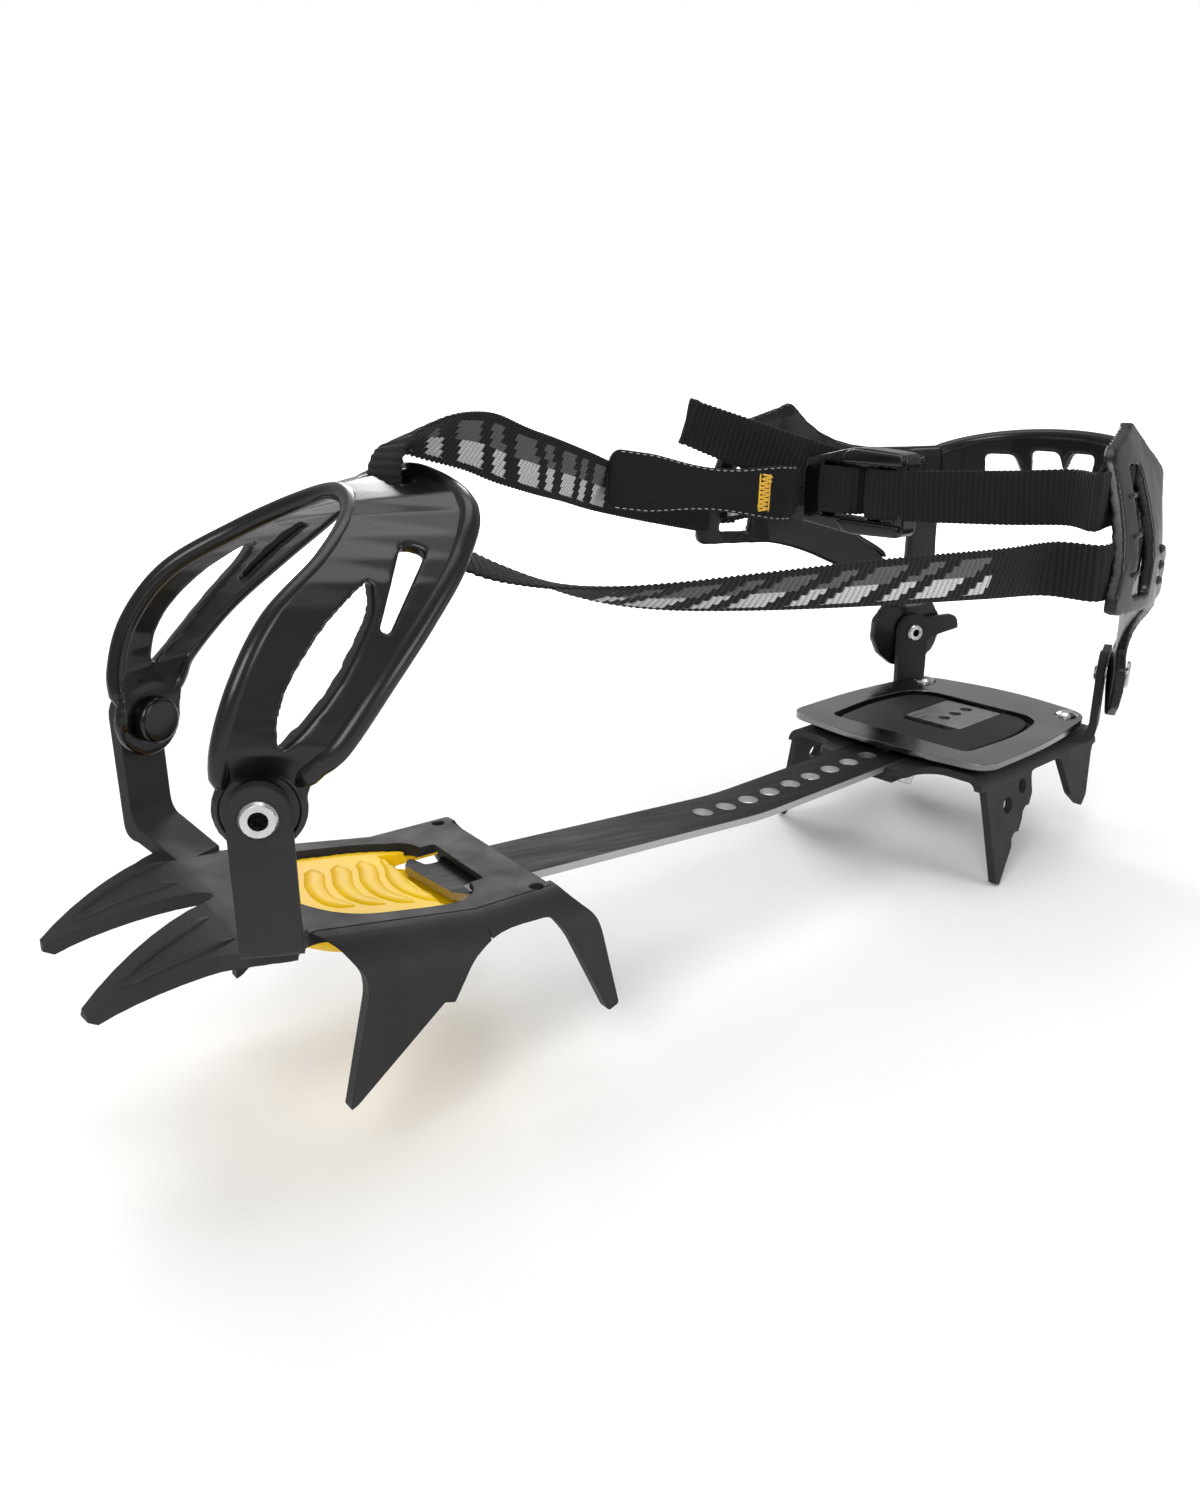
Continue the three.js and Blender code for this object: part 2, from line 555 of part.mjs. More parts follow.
// Rubber pad between frame and heel plate, seen in the frame's window.
function buildHeelPad() {
  const pad = outline([
    [-33, -35, 6], [33, -35, 6], [34.5, 0, 20], [29, 34, 9], [0, 38, 20], [-29, 34, 9], [-34.5, 0, 20],
  ]);
  const rim = 0.9;
  const raised = outline([
    [-25, -28.8, 4], [25, -28.8, 4], [27.4, -2, 14], [22.6, 18.2, 9], [-22.6, 18.2, 9], [-27.4, -2, 14],
  ]);
  const barWay = outline([[-11, -40], [11, -40], [11, 60], [-11, 60]]);
  const windowSeat = outline([[-11.4, -9, 1], [11.4, -9, 1], [11.4, 18, 1], [-11.4, 18, 1]]);
  return cut(
    prism(pad, HEEL_TOP + 0.3, FRAME_TOP - FRAME_THICK - 0.3)
      .add(prism(raised, HEEL_TOP + 0.3, FRAME_TOP - rim)),
    prism(barWay, HEEL_TOP - 1, FRAME_TOP - FRAME_THICK - 0.7),
    prism(outline([[-9.6, -13, 2], [9.6, -13, 2], [9.6, 24, 2], [-9.6, 24, 2]]), -30, 0),
    prism(windowSeat, WINDOW_PLATE.bottom - 0.3, 0),
    ...[-1, 1].map((s) => prism(disc(2, s * HEEL_RIVET.x, HEEL_RIVET.y), -30, 0, PLAN, 6)),
  );
}

// Anti-balling mound under the heel plate, split by a channel for the lock lever.
function buildHeelMound() {
  const top = HEEL_TOP - HEEL_THICK - 0.3;
  const geometry = new THREE.SphereGeometry(1, 20, 12);
  geometry.scale(30, 31, 11);
  geometry.translate(0, -2, top + 0.5);
  const channel = outline([[-14, -40], [14, -40], [14, 40], [-14, 40]]);
  const leverWay = outline([[-14, -40], [14, -40], [14, 19, 2], [-14, 19, 2]]);
  return cut(
    solid(geometry),
    prism(outline([[-60, -60], [60, -60], [60, 60], [-60, 60]]), top, 30),
    prism(channel, -17.2, 30),
    prism(leverWay, -30, 30),
  );
}

// ---------------------------------------------------------------- length lock
const LOCK_Y = HOLE_FIRST + LOCK_HOLE * HOLE_PITCH - HEEL_Y;
const LEVER_AXIS = { y: 12, z: -20.6 };

function buildLockLever() {
  const blade = prism(outline([[-6, -27, 3], [6, -27, 3], [6, 14.5, 1.5], [-6, 14.5, 1.5]]), -20.2, -19);
  const knuckle = turned([[0, -5.8], [2.2, -5.8], [2.2, 5.8], [0, 5.8]],
    frameMatrix(axis(0, 1, 0), axis(0, 0, 1), new THREE.Vector3(0, LEVER_AXIS.y, LEVER_AXIS.z)), 16);
  const bore = turned([[0, -9], [1.35, -9], [1.35, 9], [0, 9]],
    frameMatrix(axis(0, 1, 0), axis(0, 0, 1), new THREE.Vector3(0, LEVER_AXIS.y, LEVER_AXIS.z)), 16);
  const finger = prism(outline([[-28, -19, 0], [-24.6, -19, 0], [-27.4, -25, 0.6], [-29, -25, 0.6]]), -6, 6, SIDE);
  return cut(fuse(blade, knuckle, finger), bore);
}

function buildLockPin() {
  const tipZ = BAR_LEVEL_Z - BAR_THICK - 0.3;
  return turned([[0, -18.7], [2.5, -18.7], [2.5, tipZ - 0.5], [2, tipZ], [0, tipZ]],
    frameMatrix(axis(1, 0, 0), axis(0, 1, 0), new THREE.Vector3(0, LOCK_Y, 0)), 16);
}

function buildLeverAxle() {
  return turned([[0, -9.2], [2, -9.2], [2, -8.2], [1.2, -8.2], [1.2, 8.2], [2, 8.2], [2, 9.2], [0, 9.2]],
    frameMatrix(axis(0, 1, 0), axis(0, 0, 1), new THREE.Vector3(0, LEVER_AXIS.y, LEVER_AXIS.z)), 14);
}

// Cheek bracket that carries the lever axle under the channel floor.
function buildLeverBracket() {
  const floor = BAR_LEVEL_Z - BAR_THICK - GAP - HEEL_THICK - 0.05;
  const side = outline([[8.4, floor], [15.6, floor], [15.6, -21, 2], [12, -24, 3], [8.4, -21, 2]]);
  const web = outline([[-8, 6], [8, 6], [8, 17], [-8, 17]]);
  const cheeks = [-1, 1].map((s) => prism(side, s * 7.1 - 0.9, s * 7.1 + 0.9, SIDE));
  const bore = turned([[0, -12], [1.25, -12], [1.25, 12], [0, 12]],
    frameMatrix(axis(0, 1, 0), axis(0, 0, 1), new THREE.Vector3(0, LEVER_AXIS.y, LEVER_AXIS.z)), 14);
  return cut(fuse(prism(web, floor - 1, floor), ...cheeks), bore);
}

// ---------------------------------------------------------------- rivets
// Hollow flared eyelet: outside flare, shank and inside head along its own +Z axis.
function eyelet(shank, bore, flare, reach, headRadius, headThick) {
  return [
    [bore, 0.9], [flare - 0.5, 1], [flare, 0.3], [flare, 0.05], [shank, 0.05], [shank, -reach],
    [headRadius, -reach], [headRadius, -reach - headThick + 0.4], [headRadius - 0.6, -reach - headThick],
    [0, -reach - headThick], [0, -reach + 0.6], [bore - 0.2, -reach + 0.6], [bore, 0.9],
  ];
}

function ringLathe(profile, frame, segments) {
  const points = profile.map(([r, h]) => new THREE.Vector2(r, h));
  const geometry = new THREE.LatheGeometry(points, segments);
  geometry.rotateX(Math.PI / 2);
  geometry.applyMatrix4(frame);
  geometry.deleteAttribute('normal');
  geometry.deleteAttribute('uv');
  return orientedOut(mergeVertices(geometry, 1e-5));
}

// Frame whose +Z points outwards from a toed-in post at a pivot.
function outwardFrame(side, x, y, z, toe) {
  const out = axis(side * Math.cos(toe), -Math.sin(toe), 0);
  const up = axis(0, 0, 1);
  const sideways = new THREE.Vector3().crossVectors(up, out);
  return frameMatrix(sideways, up, new THREE.Vector3(side * x, y, z));
}

// Frame on the inner face of a rear post, +Z pointing inwards.
function rearPostInnerFrame(side) {
  const inwards = new THREE.Matrix4().makeTranslation(0, 0, -HEEL_THICK).multiply(
    new THREE.Matrix4().makeRotationY(Math.PI),
  );
  return outwardFrame(side, REAR_PIVOT.x, REAR_PIVOT.y, REAR_PIVOT.z, -REAR_TOE_IN).multiply(inwards);
}

function domeRivet(x, y) {
  const deep = HEEL_TOP - HEEL_THICK - 0.9;
  const head = FRAME_TOP - RIVET_SEAT;
  return turned([
    [0, deep - 0.1], [2.8, deep - 0.1], [2.8, deep + 0.85], [1.45, deep + 0.85], [1.45, head + 0.06],
    [3.6, head + 0.06], [3.4, head + 0.9], [2.2, head + 1.7], [0, head + 1.9],
  ], frameMatrix(axis(1, 0, 0), axis(0, 1, 0), new THREE.Vector3(x, y, 0)), 18);
}

// ---------------------------------------------------------------- front cradle
// Edge curves of the left half of the cradle, from above the ear to the crown.
const cradleFront = new THREE.CatmullRomCurve3([
  [31.9, -71.2, 50], [32, -67, 61], [28.8, -58.5, 71.5], [22.4, -45, 79.5], [12, -34.5, 85.8],
  [0, -31, 88.6],
].map((p) => new THREE.Vector3(...p)));
const cradleRear = new THREE.CatmullRomCurve3([
  [41.2, -52.8, 50], [40.2, -43, 60], [36.4, -32, 69.5], [31, -21.6, 78.6], [22.6, -14.6, 87],
  [0, -13.4, 91],
].map((p) => new THREE.Vector3(...p)));

// Rows of the ear below the curves: height, set-in of its middle from the post's outer face,
// shift along the post and half width.
const earRows = [[38.5, 6, 0, 7.8], [42, 6, 0.8, 8.3], [46, 5.3, 2.2, 9]];

function earStations() {
  const along = axis(Math.sin(POST_TOE_IN), Math.cos(POST_TOE_IN), 0);
  const out = axis(Math.cos(POST_TOE_IN), -Math.sin(POST_TOE_IN), 0);
  return earRows.map(([z, inset, shift, half]) => {
    const middle = new THREE.Vector3(POST_X, POST_Y, z).addScaledVector(out, -inset).addScaledVector(along, shift);
    return {
      f: middle.clone().addScaledVector(along, -half),
      r: middle.clone().addScaledVector(along, half),
    };
  });
}

function cradleStations(steps) {
  const left = earStations();
  for (let i = 0; i <= steps; i++) {
    left.push({ f: cradleFront.getPoint(i / steps), r: cradleRear.getPoint(i / steps) });
  }
  const flip = (p) => new THREE.Vector3(-p.x, p.y, p.z);
  const right = left.slice(0, -1).reverse().map(({ f, r }) => ({ f: flip(f), r: flip(r) }));
  return [...left, ...right];
}

function cradleShell(steps) {
  const stations = cradleStations(steps);
  return stations.map(({ f, r }, i) => {
    const a = stations[Math.max(0, i - 1)];
    const b = stations[Math.min(stations.length - 1, i + 1)];
    const run = b.f.clone().add(b.r).sub(a.f).sub(a.r);
    const across = r.clone().sub(f).multiplyScalar(0.5);
    const inEar = Math.min(i, stations.length - 1 - i) < earRows.length;
    const thick = inEar ? CRADLE_THICK - 0.8 : CRADLE_THICK;
    const up = across.clone().cross(run).normalize().multiplyScalar(thick / 2);
    return { at: f.clone().add(r).multiplyScalar(0.5), across, up };
  });
}

// Ear disc inside the post, coned away from it so that it can tilt about the cross axis.
function frontEar() {
  const out = outwardFrame(1, POST_X, POST_Y, POST_Z, POST_TOE_IN);
  const face = -STEEL - GAP;
  const back = face - CRADLE_THICK;
  return turned([[0, back], [8.6, back], [8.6, face - EAR_RELIEF], [2.9, face], [0, face]], out, 24);
}

// Slit beside the crown, cut square to the cradle's shoulder.
function shoulderSlit() {
  const along = axis(7.7, -9.2, -9.8);
  const normal = axis(0.72, -0.05, 0.69);
  const across = new THREE.Vector3().crossVectors(normal, along).normalize();
  const frame = frameMatrix(along, across, new THREE.Vector3(32.3, -34.4, 75.6));
  return prism(outline([[-9, -2.4, 1.4], [-9, 2.4, 1.4], [11, 0.9, 0.7], [11, -0.9, 0.7]]), -9, 9, frame, 4);
}

function buildFrontCradle() {
  const shell = solid(loft(cradleShell(12)));
  const boss = frontEar();
  const almond = outline([
    [-62.8, 49.5, 1], [-62.4, 55, 3], [-59.8, 60.5, 4], [-55.6, 65.6, 4], [-48.8, 71.4, 4], [-39.4, 76.8, 1],
    [-41.2, 71.4, 3], [-47, 65, 4], [-51.4, 60, 4], [-57, 54.5, 3],
  ]);
  const strapSlot = outline([[-9, -22.4, 1.5], [9, -22.4, 1.5], [9, -18, 1.5], [-9, -18, 1.5]]);
  const bore = turned([[0, -14], [3.6, -14], [3.6, 2], [0, 2]],
    outwardFrame(1, POST_X, POST_Y, POST_Z, POST_TOE_IN), 16);
  const slit = shoulderSlit();
  return cut(
    fuse(shell, boss, mirrored(boss)),
    prism(almond, -60, 60, SIDE, 3),
    slit,
    mirrored(slit),
    prism(strapSlot, 60, 110, PLAN, 3),
    bore,
    mirrored(bore),
  );
}

// ---------------------------------------------------------------- rear cradle
// The side yoke lies in the plane of its post: u runs forward from the pivot, v is height.
function wingFrame(side) {
  const forward = axis(side * Math.sin(REAR_TOE_IN), -Math.cos(REAR_TOE_IN), 0);
  return frameMatrix(forward, axis(0, 0, 1), new THREE.Vector3(side * REAR_PIVOT.x, REAR_PIVOT.y, 0));
}

function wingShape() {
  const shape = new THREE.Shape();
  shape.moveTo(-8.6, 20);
  shape.absarc(0, REAR_PIVOT.z, EAR_RADIUS, Math.PI * 0.74, Math.PI * 2.25, false);
  shape.quadraticCurveTo(16, 30, 34, 37.5);
  shape.quadraticCurveTo(46, 43.5, 58, 45.6);
  shape.lineTo(86.6, 47.6);
  shape.quadraticCurveTo(91.4, 48, 90.8, 52);
  shape.lineTo(82, 86);
  shape.quadraticCurveTo(80.8, 89.6, 76.6, 90.6);
  shape.lineTo(63, 94.4);
  shape.quadraticCurveTo(59, 97, 56, 94);
  shape.quadraticCurveTo(40, 80.6, 20, 79);
  shape.lineTo(-8, 79);
  shape.closePath();
  const gap = outline([[3, 34, 2], [3, 70, 2], [30, 70.5, 3], [40, 62, 3], [26, 50, 6], [10, 36, 3]]);
  const slot = outline([[81.4, 51.6, 2], [73, 85.8, 2], [62, 84.4, 2], [67.6, 50.6, 2]]);
  shape.holes.push(gap, slot);
  return shape;
}

function buildRearCradle() {
  // The wing stands off the outer face of the post; outwards is -Z of its frame.
  const frame = wingFrame(1);
  const near = -REAR_EAR_GAP;
  const far = near - EAR_RELIEF - CRADLE_THICK;
  const wing = prism(wingShape(), far, near, frame, 5);
  const pivotFrame = frame.clone().multiply(new THREE.Matrix4().makeTranslation(0, REAR_PIVOT.z, 0));
  const coneRelief = turned([
    [0, near - 0.01], [3.8, near], [15.2, near - EAR_RELIEF], [15.2, 4], [0, 4],
  ], pivotFrame, 24);
  const aboveRelief = outline([[-20, 20], [95, 20], [95, 110], [-20, 110]]);
  const thinning = prism(aboveRelief, near - EAR_RELIEF, 4, frame);
  const bore = turned([[0, -12], [3.4, -12], [3.4, 3], [0, 3]], pivotFrame, 16);
  const yoke = swell(cut(wing, coneRelief, thinning), frame).subtract(bore);
  return fuse(yoke, mirrored(yoke), heelArch());
}

// Swells a wing outwards, most between its arm and the strap ring, and leans the ring's
// upper edge in towards the boot.
function swell(wing, frame) {
  const outwards = new THREE.Vector3().setFromMatrixColumn(frame, 2).negate();
  const forward = new THREE.Vector3().setFromMatrixColumn(frame, 0);
  const pivot = new THREE.Vector3().setFromMatrixPosition(frame);
  const geometry = new TessellateModifier(13, 8).modify(geometryOf(wing));
  const points = geometry.attributes.position;
  const v = new THREE.Vector3();
  for (let i = 0; i < points.count; i++) {
    v.fromBufferAttribute(points, i);
    const s = (v.x - pivot.x) * forward.x + (v.y - pivot.y) * forward.y;
    const t = THREE.MathUtils.clamp((s - EAR_FLAT) / (WING_REACH - EAR_FLAT), 0, 1);
    const lean = THREE.MathUtils.smoothstep(s, 18, 60) * THREE.MathUtils.smoothstep(v.z, 56, 112);
    v.addScaledVector(outwards, WING_BULGE * Math.sin(Math.PI * t ** 1.15) - WING_LEAN * lean);
    points.setXYZ(i, v.x, v.y, v.z);
  }
  return solid(geometry);
}

// Band round the back of the heel, highest in the middle, with slanted windows.
function heelArch() {
  const centreY = REAR_PIVOT.y;
  const [halfX, halfY] = [42.3, 29];
  const steps = 14;
  const stations = [];
  for (let i = 0; i <= steps; i++) {
    const a = THREE.MathUtils.lerp(-0.1, Math.PI + 0.1, i / steps);
    const out = axis(Math.cos(a) / halfX, Math.sin(a) / halfY, 0);
    const crown = Math.sin(Math.max(0, Math.min(Math.PI, a)));
    const top = 74 + 9.5 * crown;
    const bottom = 57 + 6 * crown;
    stations.push({
      at: new THREE.Vector3(halfX * Math.cos(a), centreY + halfY * Math.sin(a), (top + bottom) / 2),
      across: new THREE.Vector3(0, 0, (top - bottom) / 2),
      up: out.multiplyScalar(ARCH_THICK / 2),
    });
  }
  const windows = [-33, -11, 11, 33].map((deg) => {
    const lean = Math.sign(deg) * 2.4;
    const hole = outline([
      [-6.4 - lean, 67.5, 1.5], [6.4 - lean, 67.5, 1.5], [5, 78.6 - Math.abs(deg) * 0.08, 2],
      [-5, 78.6 - Math.abs(deg) * 0.08, 2],
    ]);
    return moved(prism(hole, -60, 0, CROSS, 3), turnedAboutZ(THREE.MathUtils.degToRad(deg * -1.35), 0, centreY));
  });
  return cut(solid(loft(stations)), ...windows);
}

// ---------------------------------------------------------------- webbing
// Webbing through points [x, y, z, lean]. Lean turns its width from upright towards +X.
function webbing(points, width = WEB_WIDTH, thick = WEB_THICK, steps = 4) {
  const curve = new THREE.CatmullRomCurve3(points.map(([x, y, z]) => new THREE.Vector3(x, y, z)));
  const spans = points.length - 1;
  const stations = [];
  for (let i = 0; i <= spans * steps; i++) {
    const k = Math.min(spans - 1, Math.floor(i / steps));
    const f = i / steps - k;
    const lean = THREE.MathUtils.degToRad(THREE.MathUtils.lerp(points[k][3], points[k + 1][3], f));
    const run = curve.getTangent(i / (spans * steps));
    const level = new THREE.Vector3(Math.abs(run.y), -run.x * Math.sign(run.y || 1), 0).normalize();
    const upright = new THREE.Vector3().crossVectors(run, level);
    upright.multiplyScalar(Math.sign(upright.z) || 1).normalize();
    const across = upright.multiplyScalar(Math.cos(lean)).addScaledVector(level, Math.sin(lean)).normalize();
    const up = new THREE.Vector3().crossVectors(run, across).normalize().multiplyScalar(thick / 2);
    stations.push({
      at: curve.getPoint(i / (spans * steps)),
      across: across.multiplyScalar(width / 2),
      up,
    });
  }
  return loft(stations);
}

const nearRunRear = [[45, 160, 59, 4], [38.5, 130, 59, 20], [33, 104, 59.6, 30]];
const nearRunFront = [[17, 24, 63.6, 72], [13.5, 6, 68, 82], [11, -6, 73.4, 88]];
const farRunRear = [[-80, 141, 61.5, 4], [-69, 108, 69, 14], [-57, 80, 75.6, 22]];
const farRunFront = [[-19, 24, 91, 24], [-9, 4, 95.2, 34], [-5, -5, 96, 52]];
const shortRun = [[42, 161.4, 77, 0], [18, 159.6, 74, 0], [-5.6, 157.7, 72, 0]];
const tailRun = [[-48, 151, 79.6, 8], [-64, 141, 86.6, 12], [-80, 131, 92.4, 16]];

// Buckle frame: u along the strap towards the right side, v up, outwards from the toe side.
const BUCKLE_PIN = new THREE.Vector3(-21.5, 157, 72);
const buckleFrame = frameMatrix(axis(-1, -0.081, 0), axis(0, 0, 1), BUCKLE_PIN);

function buildBuckleBody() {
  const plate = outline([
    [-13, -12.6, 3], [-13, 12.6, 3], [6, 13.6, 4], [31, 7.5, 3], [31, -10.5, 3], [8, -13, 4],
  ]);
  const opening = outline([[-9.6, -8.3, 1], [-9.6, 8.3, 1], [18.5, 8.3, 1], [18.5, -8.3, 1]]);
  const pinBore = turned([[0, -11.4], [2.4, -11.4], [2.4, 11.4], [0, 11.4]],
    new THREE.Matrix4().makeTranslation(BUCKLE_PIN.x, BUCKLE_PIN.y, BUCKLE_PIN.z), 12);
  const ramp = outline([[19.5, -6], [40, -6], [40, 6], [27, 6]]);
  const wedge = prism(ramp, -20, 20, frameMatrix(axis(-1, -0.081, 0), axis(0.081, -1, 0), BUCKLE_PIN));
  return cut(prism(plate, -3.6, 3.6, buckleFrame, 3), prism(opening, -9, 9, buckleFrame, 2), pinBore, wedge);
}

function buildBucklePin() {
  return turned([[0, -11], [2, -11], [2, 11], [0, 11]],
    new THREE.Matrix4().makeTranslation(BUCKLE_PIN.x, BUCKLE_PIN.y, BUCKLE_PIN.z), 12);
}

// Pull tab: rounded ends and a waist, hanging forwards from the buckle.
const TAB_START = new THREE.Vector3(-46.5, 150, 69.6);
const TAB_DIRECTION = axis(-4, -74, 9.6);
const TAB_LENGTH = 76;
const tabFrame = (() => {
  const level = axis(-TAB_DIRECTION.y, TAB_DIRECTION.x, 0);
  const acrossTab = new THREE.Vector3().crossVectors(level, TAB_DIRECTION).normalize();
  return frameMatrix(TAB_DIRECTION, acrossTab.multiplyScalar(Math.sign(acrossTab.z)), TAB_START);
})();

function buildPullTab() {
  const half = 8.6;
  const waist = 6.6;
  const shape = new THREE.Shape();
  shape.moveTo(0, -half + 4);
  shape.lineTo(0, half - 4);
  shape.quadraticCurveTo(0, half, 4, half);
  shape.bezierCurveTo(20, half, 24, waist, 34, waist);
  shape.bezierCurveTo(44, waist, 48, half, TAB_LENGTH - 4, half);
  shape.quadraticCurveTo(TAB_LENGTH, half, TAB_LENGTH, half - 4);
  shape.lineTo(TAB_LENGTH, -half + 4);
  shape.quadraticCurveTo(TAB_LENGTH, -half, TAB_LENGTH - 4, -half);
  shape.bezierCurveTo(48, -half, 44, -waist, 34, -waist);
  shape.bezierCurveTo(24, -waist, 20, -half, 4, -half);
  shape.quadraticCurveTo(0, -half, 0, -half + 4);
  return prism(shape, -1, 1, tabFrame, 4);
}

function buildTabStitching() {
  return prism(outline([[15, -5.4, 1], [15, 5.4, 1], [19, 5.4, 1], [19, -5.4, 1]]), -1.7, -1.05, tabFrame, 2);
}

// ---------------------------------------------------------------- put together
addPiece(crampon, 'front_plate', buildFrontPlate(), steelBlack);
addPiece(crampon, 'front_snow_plate', buildFrontSnowPlate(), plasticYellow);
addPiece(crampon, 'front_cradle', buildFrontCradle(), plasticBlack);
for (const [name, side] of [['left', 1], ['right', -1]]) {
  const frame = outwardFrame(side, POST_X, POST_Y, POST_Z, POST_TOE_IN);
  const reach = STEEL + GAP + CRADLE_THICK + 1.4;
  addPiece(crampon, `front_pivot_rivet_${name}`,
    ringLathe(eyelet(2.5, 1.8, 3.6, reach, 4.7, 1.3), frame, 20), steelBright);
}

addPiece(barGroup, 'linking_bar', buildLinkingBar(), steelBlack);

addPiece(heel, 'heel_frame_plate', buildHeelFrame(), steelPolished);
addPiece(heel, 'heel_plate', buildHeelPlate(), steelBlack);
addPiece(heel, 'heel_pad', buildHeelPad(), rubberBlack);
addPiece(heel, 'heel_window_plate', buildWindowPlate(), steelPolished);
const mounds = buildHeelMound();
addPiece(heel, 'heel_snow_plate', mounds, rubberBlack);
addPiece(heel, 'lock_lever', buildLockLever(), steelBright);
addPiece(heel, 'lock_pin', buildLockPin(), steelBright);
addPiece(heel, 'lock_lever_axle', buildLeverAxle(), steelBright);
addPiece(heel, 'lock_lever_bracket', buildLeverBracket(), steelBlack);
for (const [name, side] of [['left', 1], ['right', -1]]) {
  addPiece(heel, `heel_rivet_${name}`, domeRivet(side * HEEL_RIVET.x, HEEL_RIVET.y), steelBright);
  const rearReach = HEEL_THICK + REAR_EAR_GAP + EAR_RELIEF + CRADLE_THICK + 3 * GAP;
  addPiece(heel, `rear_pivot_rivet_${name}`,
    ringLathe(eyelet(2.1, 1.4, 3.2, rearReach, 4.6, 1.2), rearPostInnerFrame(side), 20), steelBright);
}
addPiece(heel, 'rear_cradle', buildRearCradle(), plasticBlack);

addPiece(crampon, 'long_strap_near_rear', webbing(nearRunRear), webbingBlack);
addPiece(crampon, 'long_strap_near_front', webbing(nearRunFront), webbingBlack);
addPiece(crampon, 'long_strap_far_rear', webbing(farRunRear), webbingBlack);
addPiece(crampon, 'long_strap_far_front', webbing(farRunFront), webbingBlack);
addPiece(crampon, 'short_strap', webbing(shortRun), webbingBlack);
addPiece(crampon, 'strap_tail', webbing(tailRun), webbingBlack);
addPiece(crampon, 'buckle_body', buildBuckleBody(), plasticBlack);
addPiece(crampon, 'buckle_pin', buildBucklePin(), plasticBlack);
addPiece(crampon, 'pull_tab', buildPullTab(), leatherBlack);
addPiece(crampon, 'tab_stitching', buildTabStitching(), threadYellow);

export default crampon;
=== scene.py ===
"""Looks for a strap-on crampon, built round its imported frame.

Lengths are millimetres in the tables below and metres in Blender. The toe points along -Y, the
crampon's left side is +X and the origin is on the front plate, in the middle of its rear strip.
"""

import math

import bmesh
import bpy
import numpy as np
from mathutils import Matrix, Vector
from mathutils.bvhtree import BVHTree


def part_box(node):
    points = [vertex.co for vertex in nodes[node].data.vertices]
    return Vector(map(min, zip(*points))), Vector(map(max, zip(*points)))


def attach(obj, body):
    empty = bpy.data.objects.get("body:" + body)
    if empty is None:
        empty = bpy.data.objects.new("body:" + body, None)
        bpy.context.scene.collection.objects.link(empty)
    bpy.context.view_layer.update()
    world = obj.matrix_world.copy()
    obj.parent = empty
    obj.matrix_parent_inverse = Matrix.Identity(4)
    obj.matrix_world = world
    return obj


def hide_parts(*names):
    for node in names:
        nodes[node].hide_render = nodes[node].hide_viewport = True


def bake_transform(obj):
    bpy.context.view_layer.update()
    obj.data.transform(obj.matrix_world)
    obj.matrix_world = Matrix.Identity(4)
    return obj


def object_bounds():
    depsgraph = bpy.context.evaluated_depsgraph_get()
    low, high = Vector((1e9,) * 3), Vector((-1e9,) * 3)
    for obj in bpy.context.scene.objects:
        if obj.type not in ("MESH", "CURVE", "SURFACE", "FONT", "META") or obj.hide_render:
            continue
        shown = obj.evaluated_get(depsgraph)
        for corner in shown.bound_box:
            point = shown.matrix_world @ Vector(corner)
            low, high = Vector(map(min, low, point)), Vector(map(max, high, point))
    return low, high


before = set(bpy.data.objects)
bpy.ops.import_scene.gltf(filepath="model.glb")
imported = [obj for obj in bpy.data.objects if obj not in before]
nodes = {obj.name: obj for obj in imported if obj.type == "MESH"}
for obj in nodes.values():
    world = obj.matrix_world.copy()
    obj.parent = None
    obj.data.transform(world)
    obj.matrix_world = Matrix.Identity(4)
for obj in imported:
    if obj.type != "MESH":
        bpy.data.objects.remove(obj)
cad_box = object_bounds()
MM = 0.001

# Where the heel section and its cradle stand. These repeat the part's own driving dimensions, so that
# ribs and straps can be laid along its curved wings.
BAR_YAW = math.radians(5.5)
HEEL_Y = 201.0
REAR_PIVOT = (38.9, 33.1, 9.6)
REAR_TOE_IN = math.radians(21.3)
WING_REACH, EAR_FLAT, WING_BULGE, WING_LEAN = 91.0, 5.0, 8.0, 15.0
FRONT_PIVOT = (38.2, -67.9, 38.5)
FRONT_TOE_IN = math.radians(24.8)

WEB_WIDTH = 15.0
WEB_THICK = 1.5
RIB = 1.7  # pitch of the webbing's cross ribs


def smoothstep(x, low, high):
    t = min(max((x - low) / (high - low), 0.0), 1.0)
    return t * t * (3 - 2 * t)


def heel_point(x, y, z):
    """A point given in the heel section's own frame."""
    c, s = math.cos(BAR_YAW), math.sin(BAR_YAW)
    return Vector((c * x - s * (y + HEEL_Y), s * x + c * (y + HEEL_Y), z))


def wing_point(side, u, v, off):
    """On a rear wing: u forwards from the pivot, v height, off outwards from the post."""
    t = min(max((u - EAR_FLAT) / (WING_REACH - EAR_FLAT), 0.0), 1.0)
    lean = smoothstep(u, 18, 60) * smoothstep(v, 56, 112)
    push = off + WING_BULGE * math.sin(math.pi * t ** 1.15) - WING_LEAN * lean
    x = REAR_PIVOT[0] + math.sin(REAR_TOE_IN) * u + math.cos(REAR_TOE_IN) * push
    y = REAR_PIVOT[1] - math.cos(REAR_TOE_IN) * u + math.sin(REAR_TOE_IN) * push
    return heel_point(side * x, y, v)


def outward_frame(side):
    """Frame at a front pivot: Z outwards, Y up."""
    out = Vector((side * math.cos(FRONT_TOE_IN), -math.sin(FRONT_TOE_IN), 0))
    up = Vector((0, 0, 1))
    turn = Matrix((up.cross(out), up, out)).transposed().to_4x4()
    return Matrix.Translation((side * FRONT_PIVOT[0], FRONT_PIVOT[1], FRONT_PIVOT[2])) @ turn


